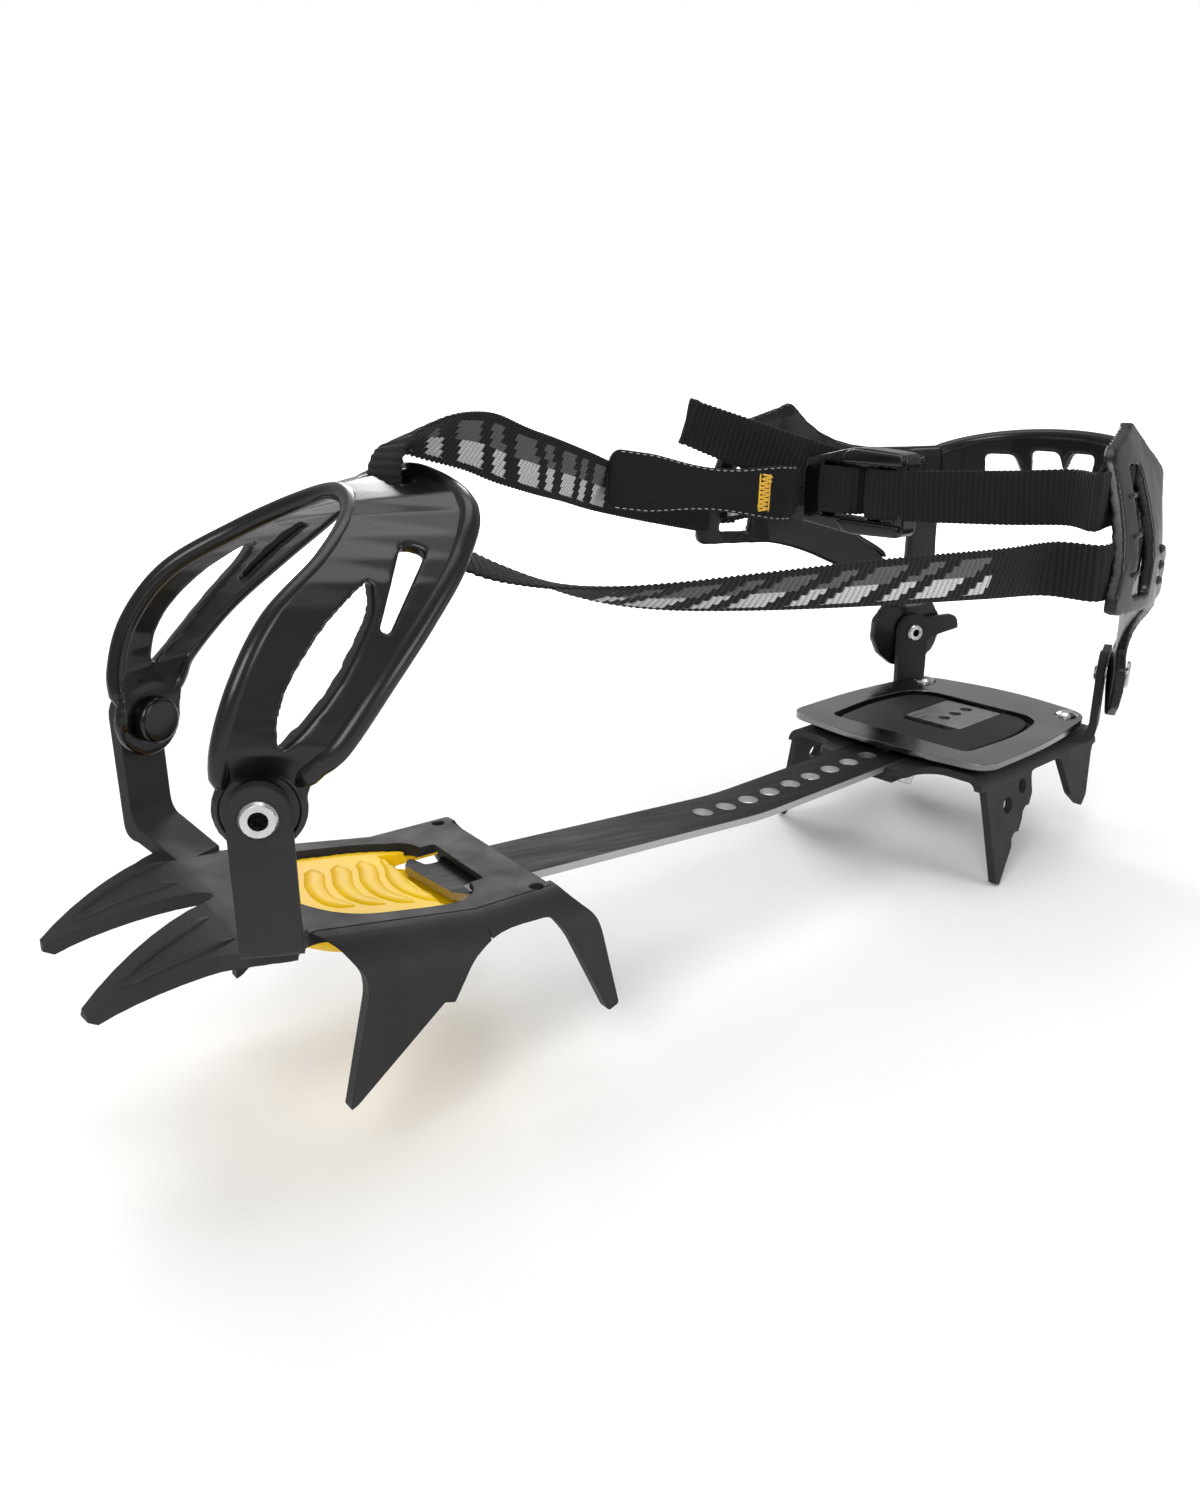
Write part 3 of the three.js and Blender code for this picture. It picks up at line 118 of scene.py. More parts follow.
# ---------------------------------------------------------------- materials
class Finish:
    """A Principled material and the few node patterns the finishes are made of."""

    def __init__(self, name, colour, roughness, metallic=0.0, **extra):
        self.material = bpy.data.materials.new(name)
        self.material.use_nodes = True
        self.tree = self.material.node_tree
        self.shader = self.tree.nodes["Principled BSDF"]
        self.colour = colour
        self.feed(self.shader, "Base Color", (*colour, 1))
        self.feed(self.shader, "Roughness", roughness)
        self.feed(self.shader, "Metallic", metallic)
        for socket, value in extra.items():
            self.feed(self.shader, socket.replace("_", " "), value)

    def feed(self, node, socket, value):
        if isinstance(value, bpy.types.NodeSocket):
            self.tree.links.new(value, node.inputs[socket])
        else:
            node.inputs[socket].default_value = value

    def node(self, kind, inputs=None, **settings):
        node = self.tree.nodes.new("ShaderNode" + kind)
        for key, value in settings.items():
            setattr(node, key, value)
        for socket, value in (inputs or {}).items():
            self.feed(node, socket, value)
        return node

    def math(self, operation, a, b=0.0):
        return self.node("Math", {0: a, 1: b}, operation=operation).outputs[0]

    def place(self, stretch=(1, 1, 1)):
        coordinates = self.node("TexCoord").outputs["Object"]
        return self.node("Mapping", {"Vector": coordinates, "Scale": stretch}).outputs[0]

    def noise(self, scale, detail=3.0, stretch=(1, 1, 1)):
        inputs = {"Vector": self.place(stretch), "Scale": scale, "Detail": detail}
        return self.node("TexNoise", inputs).outputs[0]

    def span(self, value, low, high, start=0.3, stop=0.7):
        inputs = {"Value": value, "From Min": start, "From Max": stop, "To Min": low, "To Max": high}
        return self.node("MapRange", inputs).outputs[0]

    def mix(self, factor, first, second):
        node = self.node("Mix", data_type="RGBA")
        self.feed(node, 0, factor)
        self.feed(node, 6, first if isinstance(first, bpy.types.NodeSocket) else (*first, 1))
        self.feed(node, 7, second if isinstance(second, bpy.types.NodeSocket) else (*second, 1))
        return node.outputs[2]

    def rough(self, value):
        self.feed(self.shader, "Roughness", value)

    def paint(self, value):
        self.feed(self.shader, "Base Color", value)

    def bump(self, height, distance, strength=1.0, round_edges=0.0):
        inputs = {"Height": height, "Distance": distance, "Strength": strength}
        if round_edges:
            inputs["Normal"] = self.node("Bevel", {"Radius": round_edges}, samples=4).outputs[0]
        self.feed(self.shader, "Normal", self.node("Bump", inputs).outputs[0])


def shade(tone, times):
    return tuple(min(1.0, c * times) for c in tone)


def coated_steel(name, tone, roughness, metallic=0.3, round_edges=0.0005):
    """Satin coating over pressed steel: faint blotches, fine tooth, edges rounded in the bump normal."""
    f = Finish(name, tone, roughness, metallic)
    blotch = f.noise(38, 4)
    f.paint(f.mix(f.span(blotch, 0, 1), shade(tone, 0.82), shade(tone, 1.18)))
    f.rough(f.span(f.noise(120, 5), roughness - 0.07, roughness + 0.07))
    f.feed(f.shader, "Specular IOR Level", 0.16)
    f.bump(f.noise(3200, 2), 0.00003, 0.5, round_edges)
    return f.material


def bar_steel(name, tone):
    """The linking bar: coated on its faces, bare bright metal on its sheared edges."""
    f = Finish(name, tone, 0.42)
    facing = f.node("SeparateXYZ", {0: f.node("TexCoord").outputs["Normal"]}).outputs[2]
    bare = f.math("LESS_THAN", f.math("ABSOLUTE", facing), 0.6)
    scratches = f.noise(420, 4, (1, 0.06, 1))
    f.feed(f.shader, "Specular IOR Level", 0.08)
    coat = f.mix(f.span(f.noise(40, 4), 0, 1), shade(tone, 0.85), shade(tone, 1.2))
    f.paint(f.mix(bare, coat, (0.42, 0.42, 0.43)))
    f.feed(f.shader, "Metallic", f.span(bare, 0.0, 0.95, 0, 1))
    f.rough(f.span(scratches, 0.42, 0.6))
    f.bump(scratches, 0.00003, 0.5)
    return f.material


def bright_steel(name, tone, roughness, stretch=(1, 1, 1)):
    f = Finish(name, tone, roughness, 1.0)
    brushed = f.noise(900, 4, stretch)
    f.paint(f.mix(f.span(f.noise(160, 3), 0, 1), shade(tone, 0.8), tone))
    f.rough(f.span(brushed, roughness * 0.7, roughness * 1.4))
    f.bump(brushed, 0.00002, 0.4, 0.0002)
    return f.material


def moulded(name, tone, roughness, grain=0.4, gloss=0.3, coat=0.25):
    """Moulded plastic: slight flow marks in the gloss and a fine eggshell surface."""
    f = Finish(name, tone, roughness, 0.0, Coat_Weight=coat, Coat_Roughness=0.12)
    flow = f.noise(26, 5, (1, 1, 0.4))
    f.paint(f.mix(f.span(flow, 0, 1), shade(tone, 0.8), shade(tone, 1.25)))
    f.rough(f.span(flow, roughness - 0.06, roughness + 0.08))
    f.feed(f.shader, "Specular IOR Level", gloss)
    f.bump(f.noise(1500, 2), 0.00002, grain)
    return f.material


def suede(name, tone):
    """Napped leather: soft pile, slight mottling, no gloss."""
    f = Finish(name, tone, 0.92, 0.0, Sheen_Weight=0.06, Sheen_Roughness=0.6)
    pile = f.noise(2600, 6)
    f.paint(f.mix(f.span(pile, 0, 1), shade(tone, 0.55), shade(tone, 1.6)))
    f.feed(f.shader, "Specular IOR Level", 0.15)
    f.bump(pile, 0.00012, 0.7)
    return f.material


def twisted_thread(name, tone):
    f = Finish(name, tone, 0.55, 0.0, Sheen_Weight=0.3)
    strand = f.noise(2200, 3, (1, 1, 3))
    f.paint(f.mix(f.span(strand, 0, 1), shade(tone, 0.55), shade(tone, 1.25)))
    f.bump(strand, 0.00008, 0.8)
    return f.material


def web_cells(f):
    """Webbing UVs hold millimetres: along the strap, and across it from its middle."""
    uv = f.node("SeparateXYZ", {0: f.node("UVMap").outputs[0]})
    return uv.outputs[0], uv.outputs[1]


def webbing(name, figured=()):
    """Ribbed polyester webbing. figured lists the lengths that carry slanting bars."""
    tone = (0.0045, 0.0045, 0.0047)
    f = Finish(name, tone, 0.7, 0.0, Sheen_Weight=0.03, Sheen_Roughness=0.5)
    along, across = web_cells(f)
    rib = f.math("ABSOLUTE", f.math("SINE", f.math("MULTIPLY", along, math.pi / RIB)))
    offset = f.math("MULTIPLY", f.math("FLOOR", f.math("DIVIDE", along, RIB)), math.pi / 2)
    yarn_phase = f.math("ADD", f.math("MULTIPLY", across, math.pi / 0.62), offset)
    yarn = f.math("ABSOLUTE", f.math("SINE", yarn_phase))
    height = f.math("ADD", f.math("MULTIPLY", rib, 0.5), f.math("MULTIPLY", yarn, 0.5))
    fuzz = f.noise(1800, 4)
    # Colour follows the rib relief: painted shade in the grooves between ribs and a painted highlight on
    # the crests, over random fibre fuzz.
    groove_shade = f.math("ADD", f.math("MULTIPLY", height, 0.8), f.math("MULTIPLY", fuzz, 0.4))
    ground = f.mix(f.span(groove_shade, 0, 1, 0.2, 1.0), shade(tone, 0.3), shade(tone, 2.6))
    if figured:
        ground = figure(f, ground, along, across, groove_shade, figured)
    f.paint(ground)
    f.feed(f.shader, "Specular IOR Level", 0.2)
    f.bump(height, 0.00016, 0.9)
    return f.material


FIGURE_ROW = 1.85  # height of one step of the slanting bars
FIGURE_SLANT = 1.9  # how far each step moves along the strap
FIGURE_REPEAT = 16 * RIB
BROAD_BAR = 10.2
THIN_BAR = (15.3, 20.4)  # where the thin bar starts and stops in a repeat
FIGURE_HALF = 5.6


def figure(f, ground, along, across, groove_shade, figured):
    """Slanting bars in steps of one rib and one yarn group, grey above and white below."""
    row = f.math("FLOOR", f.math("DIVIDE", across, FIGURE_ROW))
    column = f.math("MULTIPLY", f.math("FLOOR", f.math("DIVIDE", along, RIB)), RIB)
    slanted = f.math("ADD", column, f.math("MULTIPLY", row, FIGURE_SLANT))
    place = f.math("FLOORED_MODULO", slanted, FIGURE_REPEAT)
    broad = f.math("LESS_THAN", place, BROAD_BAR)
    past_start = f.math("GREATER_THAN", place, THIN_BAR[0])
    thin = f.math("MULTIPLY", past_start, f.math("LESS_THAN", place, THIN_BAR[1]))
    inside = f.math("LESS_THAN", f.math("ABSOLUTE", f.math("ADD", across, 0.1)), FIGURE_HALF)
    shown = f.math("MULTIPLY", f.math("MAXIMUM", broad, thin), inside)
    reach = 0.0
    for low, high in figured:
        here = f.math("MULTIPLY", f.math("GREATER_THAN", along, low), f.math("LESS_THAN", along, high))
        reach = f.math("MAXIMUM", reach, here)
    shown = f.math("MULTIPLY", shown, reach)
    lower = f.math("LESS_THAN", across, 0.0)
    light = f.mix(lower, (0.11, 0.11, 0.113), (0.6, 0.6, 0.61))
    # Painted shade: the printed bars darken towards black in the grooves between ribs and stay light on the
    # crests.
    light = f.mix(f.span(groove_shade, 0, 1, 0.1, 0.9), (0.04, 0.04, 0.04), light)
    return f.mix(shown, ground, light)


BLACK_STEEL = coated_steel("black_steel", (0.024, 0.024, 0.0245), 0.55, 0.0)
HEEL_STEEL = coated_steel("polished_steel", (0.2, 0.2, 0.203), 0.16, 1.0)
BAR_STEEL = bar_steel("bar_steel", (0.01, 0.01, 0.0104))
BRIGHT_STEEL = bright_steel("bright_steel", (0.58, 0.58, 0.59), 0.24)
SATIN_STEEL = bright_steel("satin_steel", (0.36, 0.36, 0.365), 0.38, (1, 0.1, 1))
BLACK_PLASTIC = moulded("black_plastic", (0.003, 0.003, 0.0031), 0.26, gloss=0.36, coat=0.06)
BUCKLE_PLASTIC = moulded("buckle_plastic", (0.003, 0.003, 0.0031), 0.2, gloss=0.4, coat=0.15)
YELLOW_PLASTIC = moulded("yellow_plastic", (0.95, 0.53, 0.0), 0.4, 0.2, 0.15, 0.0)
BLACK_RUBBER = moulded("black_rubber", (0.005, 0.005, 0.005), 0.55, 0.8, 0.3, 0.0)
BLACK_LEATHER = suede("black_leather", (0.005, 0.005, 0.0053))
YELLOW_THREAD = twisted_thread("yellow_thread", (0.85, 0.47, 0.02))
PALE_THREAD = twisted_thread("pale_thread", (0.32, 0.32, 0.32))
WEBBING = webbing("black_webbing", ((76, 188), (262, 372), (452, 480)))
PLAIN_WEBBING = webbing("plain_webbing")


# ---------------------------------------------------------------- mesh helpers
def mesh_object(name, vertices, faces, material, body=None, uvs=None, smooth=True):
    """A closed piece from millimetre points; uvs has one pair for each face corner."""
    mesh = bpy.data.meshes.new(name)
    mesh.from_pydata([tuple(c * MM for c in v) for v in vertices], [], faces)
    if uvs:
        layer = mesh.uv_layers.new(name="UVMap")
        layer.data.foreach_set("uv", np.array(uvs, np.float32).ravel())
    tidy = bmesh.new()
    tidy.from_mesh(mesh)
    bmesh.ops.recalc_face_normals(tidy, faces=tidy.faces)
    tidy.to_mesh(mesh)
    tidy.free()
    mesh.polygons.foreach_set("use_smooth", [smooth] * len(mesh.polygons))
    obj = bpy.data.objects.new(name, mesh)
    bpy.context.scene.collection.objects.link(obj)
    mesh.materials.append(material)
    if body:
        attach(obj, body)
    return obj


def lofted(name, rings, material, body=None, uvs=None, smooth=True, closed=False):
    """Joins rings of points with quads; open runs get flat caps, closed ones meet themselves."""
    count = len(rings[0])
    vertices = [p for ring in rings for p in ring]
    faces, corners = [], []
    spans = len(rings) if closed else len(rings) - 1
    for i in range(spans):
        j = (i + 1) % len(rings)
        for k in range(count):
            m = (k + 1) % count
            faces.append((i * count + k, i * count + m, j * count + m, j * count + k))
            if uvs:
                corners += [uvs(i, k), uvs(i, k + 1), uvs(j, k + 1), uvs(j, k)]
    if not closed:
        for first in (0, (len(rings) - 1) * count):
            faces.append(tuple(range(first, first + count)))
            if uvs:
                ring = first // count
                corners += [uvs(ring, k) for k in range(count)]
    return mesh_object(name, vertices, faces, material, body, corners or None, smooth)


def bevelled(obj, width, segments=3, angle=35):
    modifier = obj.modifiers.new("edges", "BEVEL")
    modifier.width = width * MM
    modifier.segments = segments
    modifier.limit_method = "ANGLE"
    modifier.angle_limit = math.radians(angle)
    obj.modifiers.new("normals", "WEIGHTED_NORMAL")
    return obj


class Path:
    """A smooth line through keys (x, y, z, and a width direction), walked by its length."""

    def __init__(self, keys, samples=40):
        keys = np.array(keys, float)
        padded = np.vstack([2 * keys[0] - keys[1], keys, 2 * keys[-1] - keys[-2]])
        rows = []
        for i in range(1, len(padded) - 2):
            p0, p1, p2, p3 = padded[i - 1:i + 3]
            for t in np.arange(samples) / samples:
                rows.append(0.5 * (2 * p1 + (p2 - p0) * t + (2 * p0 - 5 * p1 + 4 * p2 - p3) * t ** 2
                                   + (3 * p1 - p0 - 3 * p2 + p3) * t ** 3))
        rows.append(padded[-2])
        self.rows = np.array(rows)
        steps = np.linalg.norm(np.diff(self.rows[:, :3], axis=0), axis=1)
        self.reach = np.concatenate([[0], np.cumsum(steps)])
        self.length = float(self.reach[-1])

    def at(self, s):
        row = np.array([np.interp(s, self.reach, column) for column in self.rows.T])
        return Vector(row[:3]), Vector(row[3:6]) if len(row) > 3 else None

    def tangent(self, s):
        low, high = max(0, s - 0.4), min(self.length, s + 0.4)
        return (self.at(high)[0] - self.at(low)[0]).normalized()

    def where(self, test, start=0.0):
        """The first length after start at which a point passes the test."""
        for reach, row in zip(self.reach, self.rows):
            if reach >= start and test(row):
                return float(reach)
        return self.length


STRAP_COLUMNS = 9
RIB_RISE = 0.16


def strap(name, path, start, stop, material, width=WEB_WIDTH, thick=WEB_THICK, step=RIB / 6):
    """A length of webbing with its cross ribs and rounded selvedges."""
    count = max(2, round((stop - start) / step))
    rings, reaches = [], []
    across_steps = [math.sin(math.pi / 2 * (2 * k / (STRAP_COLUMNS - 1) - 1)) for k in range(STRAP_COLUMNS)]
    for i in range(count + 1):
        s = start + (stop - start) * i / count
        centre, across = path.at(s)
        run = path.tangent(s)
        across = (across - run * across.dot(run)).normalized()
        normal = run.cross(across)
        swell = math.cos(2 * math.pi * s / RIB)
        half = width / 2 + 0.12 * swell
        ring = []
        for a in across_steps:
            ring.append(centre + across * half * a + normal * face_height(a, swell, thick))
        for a in reversed(across_steps):
            ring.append(centre + across * half * a - normal * face_height(a, -swell, thick))
        rings.append(ring)
        reaches.append(s)
    columns = [width / 2 * a for a in across_steps]
    columns = columns + columns[::-1]

    def uvs(i, k):
        return reaches[i], columns[k % len(columns)]

    return lofted(name, rings, material, uvs=uvs)


def face_height(a, swell, thick):
    edge = (1 - abs(a) ** 5) ** 0.5 if abs(a) < 1 else 0.0
    return (thick / 2 - RIB_RISE) * max(0.35, edge) + RIB_RISE * swell


def bead(name, keys, radius, material, body, closed=False, sides=10, step=1.0):
    """A round bead along a line; each key is a point and the way its top faces."""
    if closed:
        keys = list(keys) + [keys[0]]
    path = Path(keys)
    count = max(4, round(path.length / step))
    rings = []
    for i in range(count if closed else count + 1):
        s = path.length * i / count
        centre, lift = path.at(s)
        run = path.tangent(s)
        lift = (lift - run * lift.dot(run)).normalized()
        side = run.cross(lift)
        taper = 1.0 if closed else min(1.0, 0.3 + 0.7 * min(s, path.length - s) / (1.5 * radius))
        rings.append([
            centre + radius * taper * (side * math.cos(a) + lift * math.sin(a))
            for a in (2 * math.pi * k / sides for k in range(sides))
        ])
    return lofted(name, rings, material, body, closed=closed)


def turned(name, profile, matrix, material, body, segments=48):
    """A turned piece: profile [radius, height] starts and ends on its axis."""
    vertices, faces = [], []
    rows = len(profile)
    for i in range(segments):
        a = 2 * math.pi * i / segments
        for r, h in profile[1:-1]:
            vertices.append(matrix @ Vector((r * math.cos(a), r * math.sin(a), h)))
    inner = rows - 2
    vertices += [matrix @ Vector((0, 0, profile[0][1])), matrix @ Vector((0, 0, profile[-1][1]))]
    low, high = len(vertices) - 2, len(vertices) - 1
    for i in range(segments):
        j = (i + 1) % segments
        faces.append((low, i * inner, j * inner))
        faces.append((high, j * inner + inner - 1, i * inner + inner - 1))
        for k in range(inner - 1):
            faces.append((i * inner + k, i * inner + k + 1, j * inner + k + 1, j * inner + k))
    obj = mesh_object(name, vertices, faces, material, body)
    obj.modifiers.new("normals", "WEIGHTED_NORMAL")
    return obj


def plate(name, points, matrix, low, high, material, body, edge):
    """A flat outline (u, v) with rounded edges, from height low to high of its matrix."""
    rings = [[matrix @ Vector((u, v, h)) for u, v in points] for h in (low, high)]
    return bevelled(lofted(name, rings, material, body), edge)


# ---------------------------------------------------------------- finishes on the frame
def weld(obj):
    modifier = obj.modifiers.new("weld", "WELD")
    modifier.merge_threshold = 1e-5


def finish_sheet(name, material):
    """Sharp-edged metal: smooth round its bends, crisp at its edges."""
    obj = nodes[name]
    obj.data.materials.clear()
    obj.data.materials.append(material)
    obj.data.polygons.foreach_set("use_smooth", [True] * len(obj.data.polygons))
    weld(obj)
    split = obj.modifiers.new("edges", "EDGE_SPLIT")
    split.split_angle = math.radians(28)


def finish_moulding(name, material, voxel, rounds):
    """Moulded pieces get soft, rounded edges from a fine remesh."""
    obj = nodes[name]
    obj.data.materials.clear()
    obj.data.materials.append(material)
    weld(obj)
    remesh = obj.modifiers.new("skin", "REMESH")
    remesh.mode = "VOXEL"
    remesh.voxel_size = voxel * MM
    remesh.use_smooth_shade = True
    smooth = obj.modifiers.new("round", "SMOOTH")
    smooth.factor = 0.5
    smooth.iterations = rounds


for name in ("front_plate", "heel_plate", "lock_lever_bracket"):
    finish_sheet(name, BLACK_STEEL)
finish_sheet("heel_frame_plate", HEEL_STEEL)
finish_sheet("linking_bar", BAR_STEEL)
finish_sheet("heel_window_plate", SATIN_STEEL)
for name in ("front_pivot_rivet_left", "front_pivot_rivet_right", "heel_rivet_left", "heel_rivet_right",
             "rear_pivot_rivet_left", "rear_pivot_rivet_right", "lock_lever", "lock_pin",
             "lock_lever_axle"):
    finish_sheet(name, BRIGHT_STEEL)

# Each moulding's voxel size and how many times it is smoothed.
MOULDINGS = (
    ("front_cradle", BLACK_PLASTIC, 0.42, 14),
    ("rear_cradle", BLACK_PLASTIC, 0.6, 6),
    ("front_snow_plate", YELLOW_PLASTIC, 0.5, 4),
    ("heel_pad", BLACK_RUBBER, 0.4, 3),
    ("heel_snow_plate", BLACK_RUBBER, 0.7, 4),
    ("buckle_body", BUCKLE_PLASTIC, 0.3, 6),
)
coarse = 1.0
for name, material, voxel, rounds in MOULDINGS:
    finish_moulding(name, material, voxel * coarse, rounds)
finish_sheet("buckle_pin", BUCKLE_PLASTIC)


# ---------------------------------------------------------------- long strap
def key(x, y, z, lean, level):
    """A strap key: its width leans from upright towards the level direction, in degrees."""
    a = math.radians(lean)
    return (x, y, z, level[0] * math.sin(a), level[1] * math.sin(a), math.cos(a))


NEAR = (0.98, -0.21)
FAR = (0.89, 0.45)


def ring_key(side, u, v, off, flip=1):
    p = wing_point(side, u, v, off)
    return (p.x, p.y, p.z, 0, 0, flip)


LONG_STRAP = [
    ring_key(1, 50, 61.5, -0.6), ring_key(1, 60, 61, 0.2), ring_key(1, 71, 60.4, 1.2),
    ring_key(1, 81, 59.6, 0.2), ring_key(1, 91, 59.2, 0.0),
    key(44.6, 152, 58.9, 8, NEAR), key(40.4, 133.2, 59, 19, NEAR), key(33, 98, 59.8, 28, NEAR),
    key(25.6, 63.4, 60.6, 42, NEAR), key(20.3, 38.3, 61.8, 56, NEAR), key(16.4, 20, 64.4, 72, NEAR),
    key(12.4, 2, 69.6, 96, NEAR), key(9, -10, 75, 106, NEAR),
    (3.4, -17.5, 81, 1, 0, 0), (0.4, -20.3, 88, 1, 0, 0), (-0.2, -20.4, 93, 1, 0, 0.1),
    (-0.6, -17.2, 97.6, 0.98, 0, 0.2), (-2, -10, 98.6, 0.86, 0.03, 0.5),
    key(-6, -1, 97.6, 44, FAR), key(-12, 10, 95.4, 32, FAR), key(-18.5, 22, 91.4, 26, FAR),
    key(-26, 36, 87.4, 23, FAR), key(-41, 57, 81.8, 25, FAR), key(-57, 80, 75.4, 22, FAR),
    key(-69, 108, 68.6, 14, FAR), key(-79.4, 139, 61.6, 5, FAR),
    ring_key(-1, 87, 60.2, 7.6), ring_key(-1, 79, 60.6, 9.8), ring_key(-1, 74, 61.4, 5.2),
    ring_key(-1, 77, 63, 0.6),
    (-76, 160.4, 66, 0, 0, 1), (-62, 162.4, 70, 0, 0, 1), (-48, 162.2, 72, 0, 0, 1),
    (-34, 161.6, 72, 0, 0, 1),
]
strap_path = Path(LONG_STRAP)


def crossing(y, rising, start=0.0):
    """Length at which the strap passes a station along the crampon."""
    if rising:
        return strap_path.where(lambda row: row[1] > y, start)
    return strap_path.where(lambda row: row[1] < y, start)


def blended(obj, start, end):
    strap_path.at(start)[0] * MM
    strap_path.at(end)[0] * MM
    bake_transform(obj)


crown = crossing(-12, False)
LINKS = (
    ("front_basket", "front_section", -7, 24),
    ("front_section", "bar", 24, 32),
    ("bar", "heel_section", 32, 130),
    ("heel_section", "rear_basket", 130, 152),
)
near_parts, far_parts = [], []
leave = strap_path.where(lambda row: row[2] > 96, crown)
for first, second, low, high in LINKS:
    near_low = crossing(low, False) if low > -7 else crown
    near_high = crossing(high, False) if high < 152 else 0.0
    piece = strap(f"long_strap_near_{first}", strap_path, near_high, near_low, WEBBING)
    blended(piece, crossing(low, False), crossing(high, False))
    near_parts.append(piece)
    far_low = crossing(low, True, leave) if low > -7 else leave
    far_high = crossing(high, True, leave)
    stop = far_high if high < 152 else crossing(151.9, True, leave)
    piece = strap(f"long_strap_far_{first}", strap_path, far_low, stop, WEBBING)
    blended(piece, crossing(low, True, leave), far_high)
    far_parts.append(piece)
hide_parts("long_strap_near_front")
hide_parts("long_strap_near_rear")
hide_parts("long_strap_far_front")
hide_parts("long_strap_far_rear")
crown_loop = strap("long_strap_crown_loop", strap_path, crown, leave, WEBBING)
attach(crown_loop, "front_basket")
far_ring = crossing(151.9, True, leave)
to_buckle = strap("long_strap_to_buckle", strap_path, far_ring, strap_path.length, WEBBING)
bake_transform(to_buckle)

# ---------------------------------------------------------------- short strap and buckle
PIN = Vector(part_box("buckle_pin")[0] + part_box("buckle_pin")[1]) / 2 / MM
ALONG = Vector((-1, -0.081, 0)).normalized()
TOEWARD = Vector((0.081, -1, 0)).normalized()


def buckle_point(u, v, w):
    """In the buckle: u towards the right foot side, v up, w towards the toe."""
    return PIN + ALONG * u + TOEWARD * w + Vector((0, 0, v))


def buckle_key(u, v, w):
    p = buckle_point(u, v, w)
    return (p.x, p.y, p.z, 0, 0, 1)


short_path = Path([
    ring_key(1, 50, 79, -0.6), ring_key(1, 60, 78.4, 0.4), ring_key(1, 70, 77.6, 1.6),
    ring_key(1, 79, 77.2, 0.4), ring_key(1, 88, 77, 0.2),
    (41, 163, 76.6, 0, 0, 1), (24, 161, 74.8, 0, 0, 1), buckle_key(-26, 1.4, 2.4),
    buckle_key(-12, 0.4, 3.2), buckle_key(-4, 0, 4), buckle_key(0.4, 0, 3.3), buckle_key(3, 0, 0),
    buckle_key(0.4, 0, -3.3), buckle_key(-6, 0, -3.6), buckle_key(-16, 0.4, 0.4),
    (22, 162.7, 74.6, 0, 0, 1), (36, 164.2, 76, 0, 0, 1),
])
short = strap("short_strap_webbing", short_path, 0, short_path.length, PLAIN_WEBBING)
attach(short, "rear_basket")
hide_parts("short_strap")

wrap_path = Path([
    buckle_key(27, 0, -5), buckle_key(24, 0, -1), buckle_key(21, 0, 2.6), buckle_key(15, 0, 3.8),
    buckle_key(9, 0, 3.4), buckle_key(5.6, 0, 1), buckle_key(6, 0, -3), buckle_key(12, 0, -5.4),
    buckle_key(22, 1, -6),
])
wrap = strap("buckle_webbing_wrap", wrap_path, 0, wrap_path.length, PLAIN_WEBBING, width=14.4)
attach(wrap, "buckle")

tail_path = Path([
    (-40, 158.5, 76.5, 0.06, 0, 1), (-50, 152.6, 79.4, 0.14, 0, 1), (-64, 143.2, 84.4, 0.22, 0, 1),
    (-77, 133.4, 89.4, 0.3, 0, 1), (-80.6, 130.4, 90.8, 0.32, 0, 1), (-82.6, 132.6, 90.6, 0.32, 0, 1),
    (-79.8, 136, 88.6, 0.3, 0, 1), (-66, 146.6, 82.4, 0.2, 0, 1), (-50, 158.6, 76.4, 0.08, 0, 1),
])
tail = strap("strap_tail_webbing", tail_path, 0, tail_path.length, PLAIN_WEBBING)
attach(tail, "buckle")
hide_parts("strap_tail")

buckle_matrix = Matrix((
    (ALONG.x, 0, TOEWARD.x, PIN.x), (ALONG.y, 0, TOEWARD.y, PIN.y), (0, 1, 0, PIN.z), (0, 0, 0, 1)))
for name, sign in (("buckle_cap_upper", 1), ("buckle_cap_lower", -1)):
    cap = [(-12.4, 8.8), (-12.6, 11.4), (-11, 12.4), (5, 13), (8.4, 12.6), (11.4, 9.6), (9.8, 8.8)]
    plate(name, [(u, sign * v) for u, v in cap], buckle_matrix, 2.8, 5.2, BUCKLE_PLASTIC, "buckle",
          0.9)

# ---------------------------------------------------------------- pull tab
TAB_START = Vector((-46.5, 150.0, 69.6))
TAB_RUN = Vector((-4, -74, 9.6)).normalized()
TAB_LENGTH = 76.0
TAB_HALF = 8.5
TAB_WAIST_SPAN = (10, 62)
TAB_WAIST_DEPTH = 2.1
TAB_CORNER = 3.5
TAB_ACROSS = Vector((0, 0, 1)) - TAB_RUN * TAB_RUN.z
TAB_ACROSS.normalize()
TAB_OUT = TAB_ACROSS.cross(TAB_RUN).normalized()
if TAB_OUT.x < 0:
    TAB_OUT = -TAB_OUT


def tab_half(s):
    """Half width along the tab: square shoulders at the buckle, a waist, a rounded end."""
    half = TAB_HALF
    low, high = TAB_WAIST_SPAN
    if low < s < high:
        half -= TAB_WAIST_DEPTH * math.sin(math.pi * (s - low) / (high - low)) ** 1.4
    for end in (s, TAB_LENGTH - s):
        if end < TAB_CORNER:
            half = half - TAB_CORNER + math.sqrt(max(0.0, TAB_CORNER ** 2 - (TAB_CORNER - end) ** 2))
    return half


def tab_centre(s):
    """The tab curls over the buckle's bar at its start and hangs with a slight sag."""
    sag = -0.9 * math.sin(math.pi * s / TAB_LENGTH)
    curl = -2.0 * smoothstep(-s, -9, 0)
    return TAB_START + TAB_RUN * s + TAB_OUT * (curl + 0.6 * math.sin(s * 0.11)) + Vector((0, 0, sag))


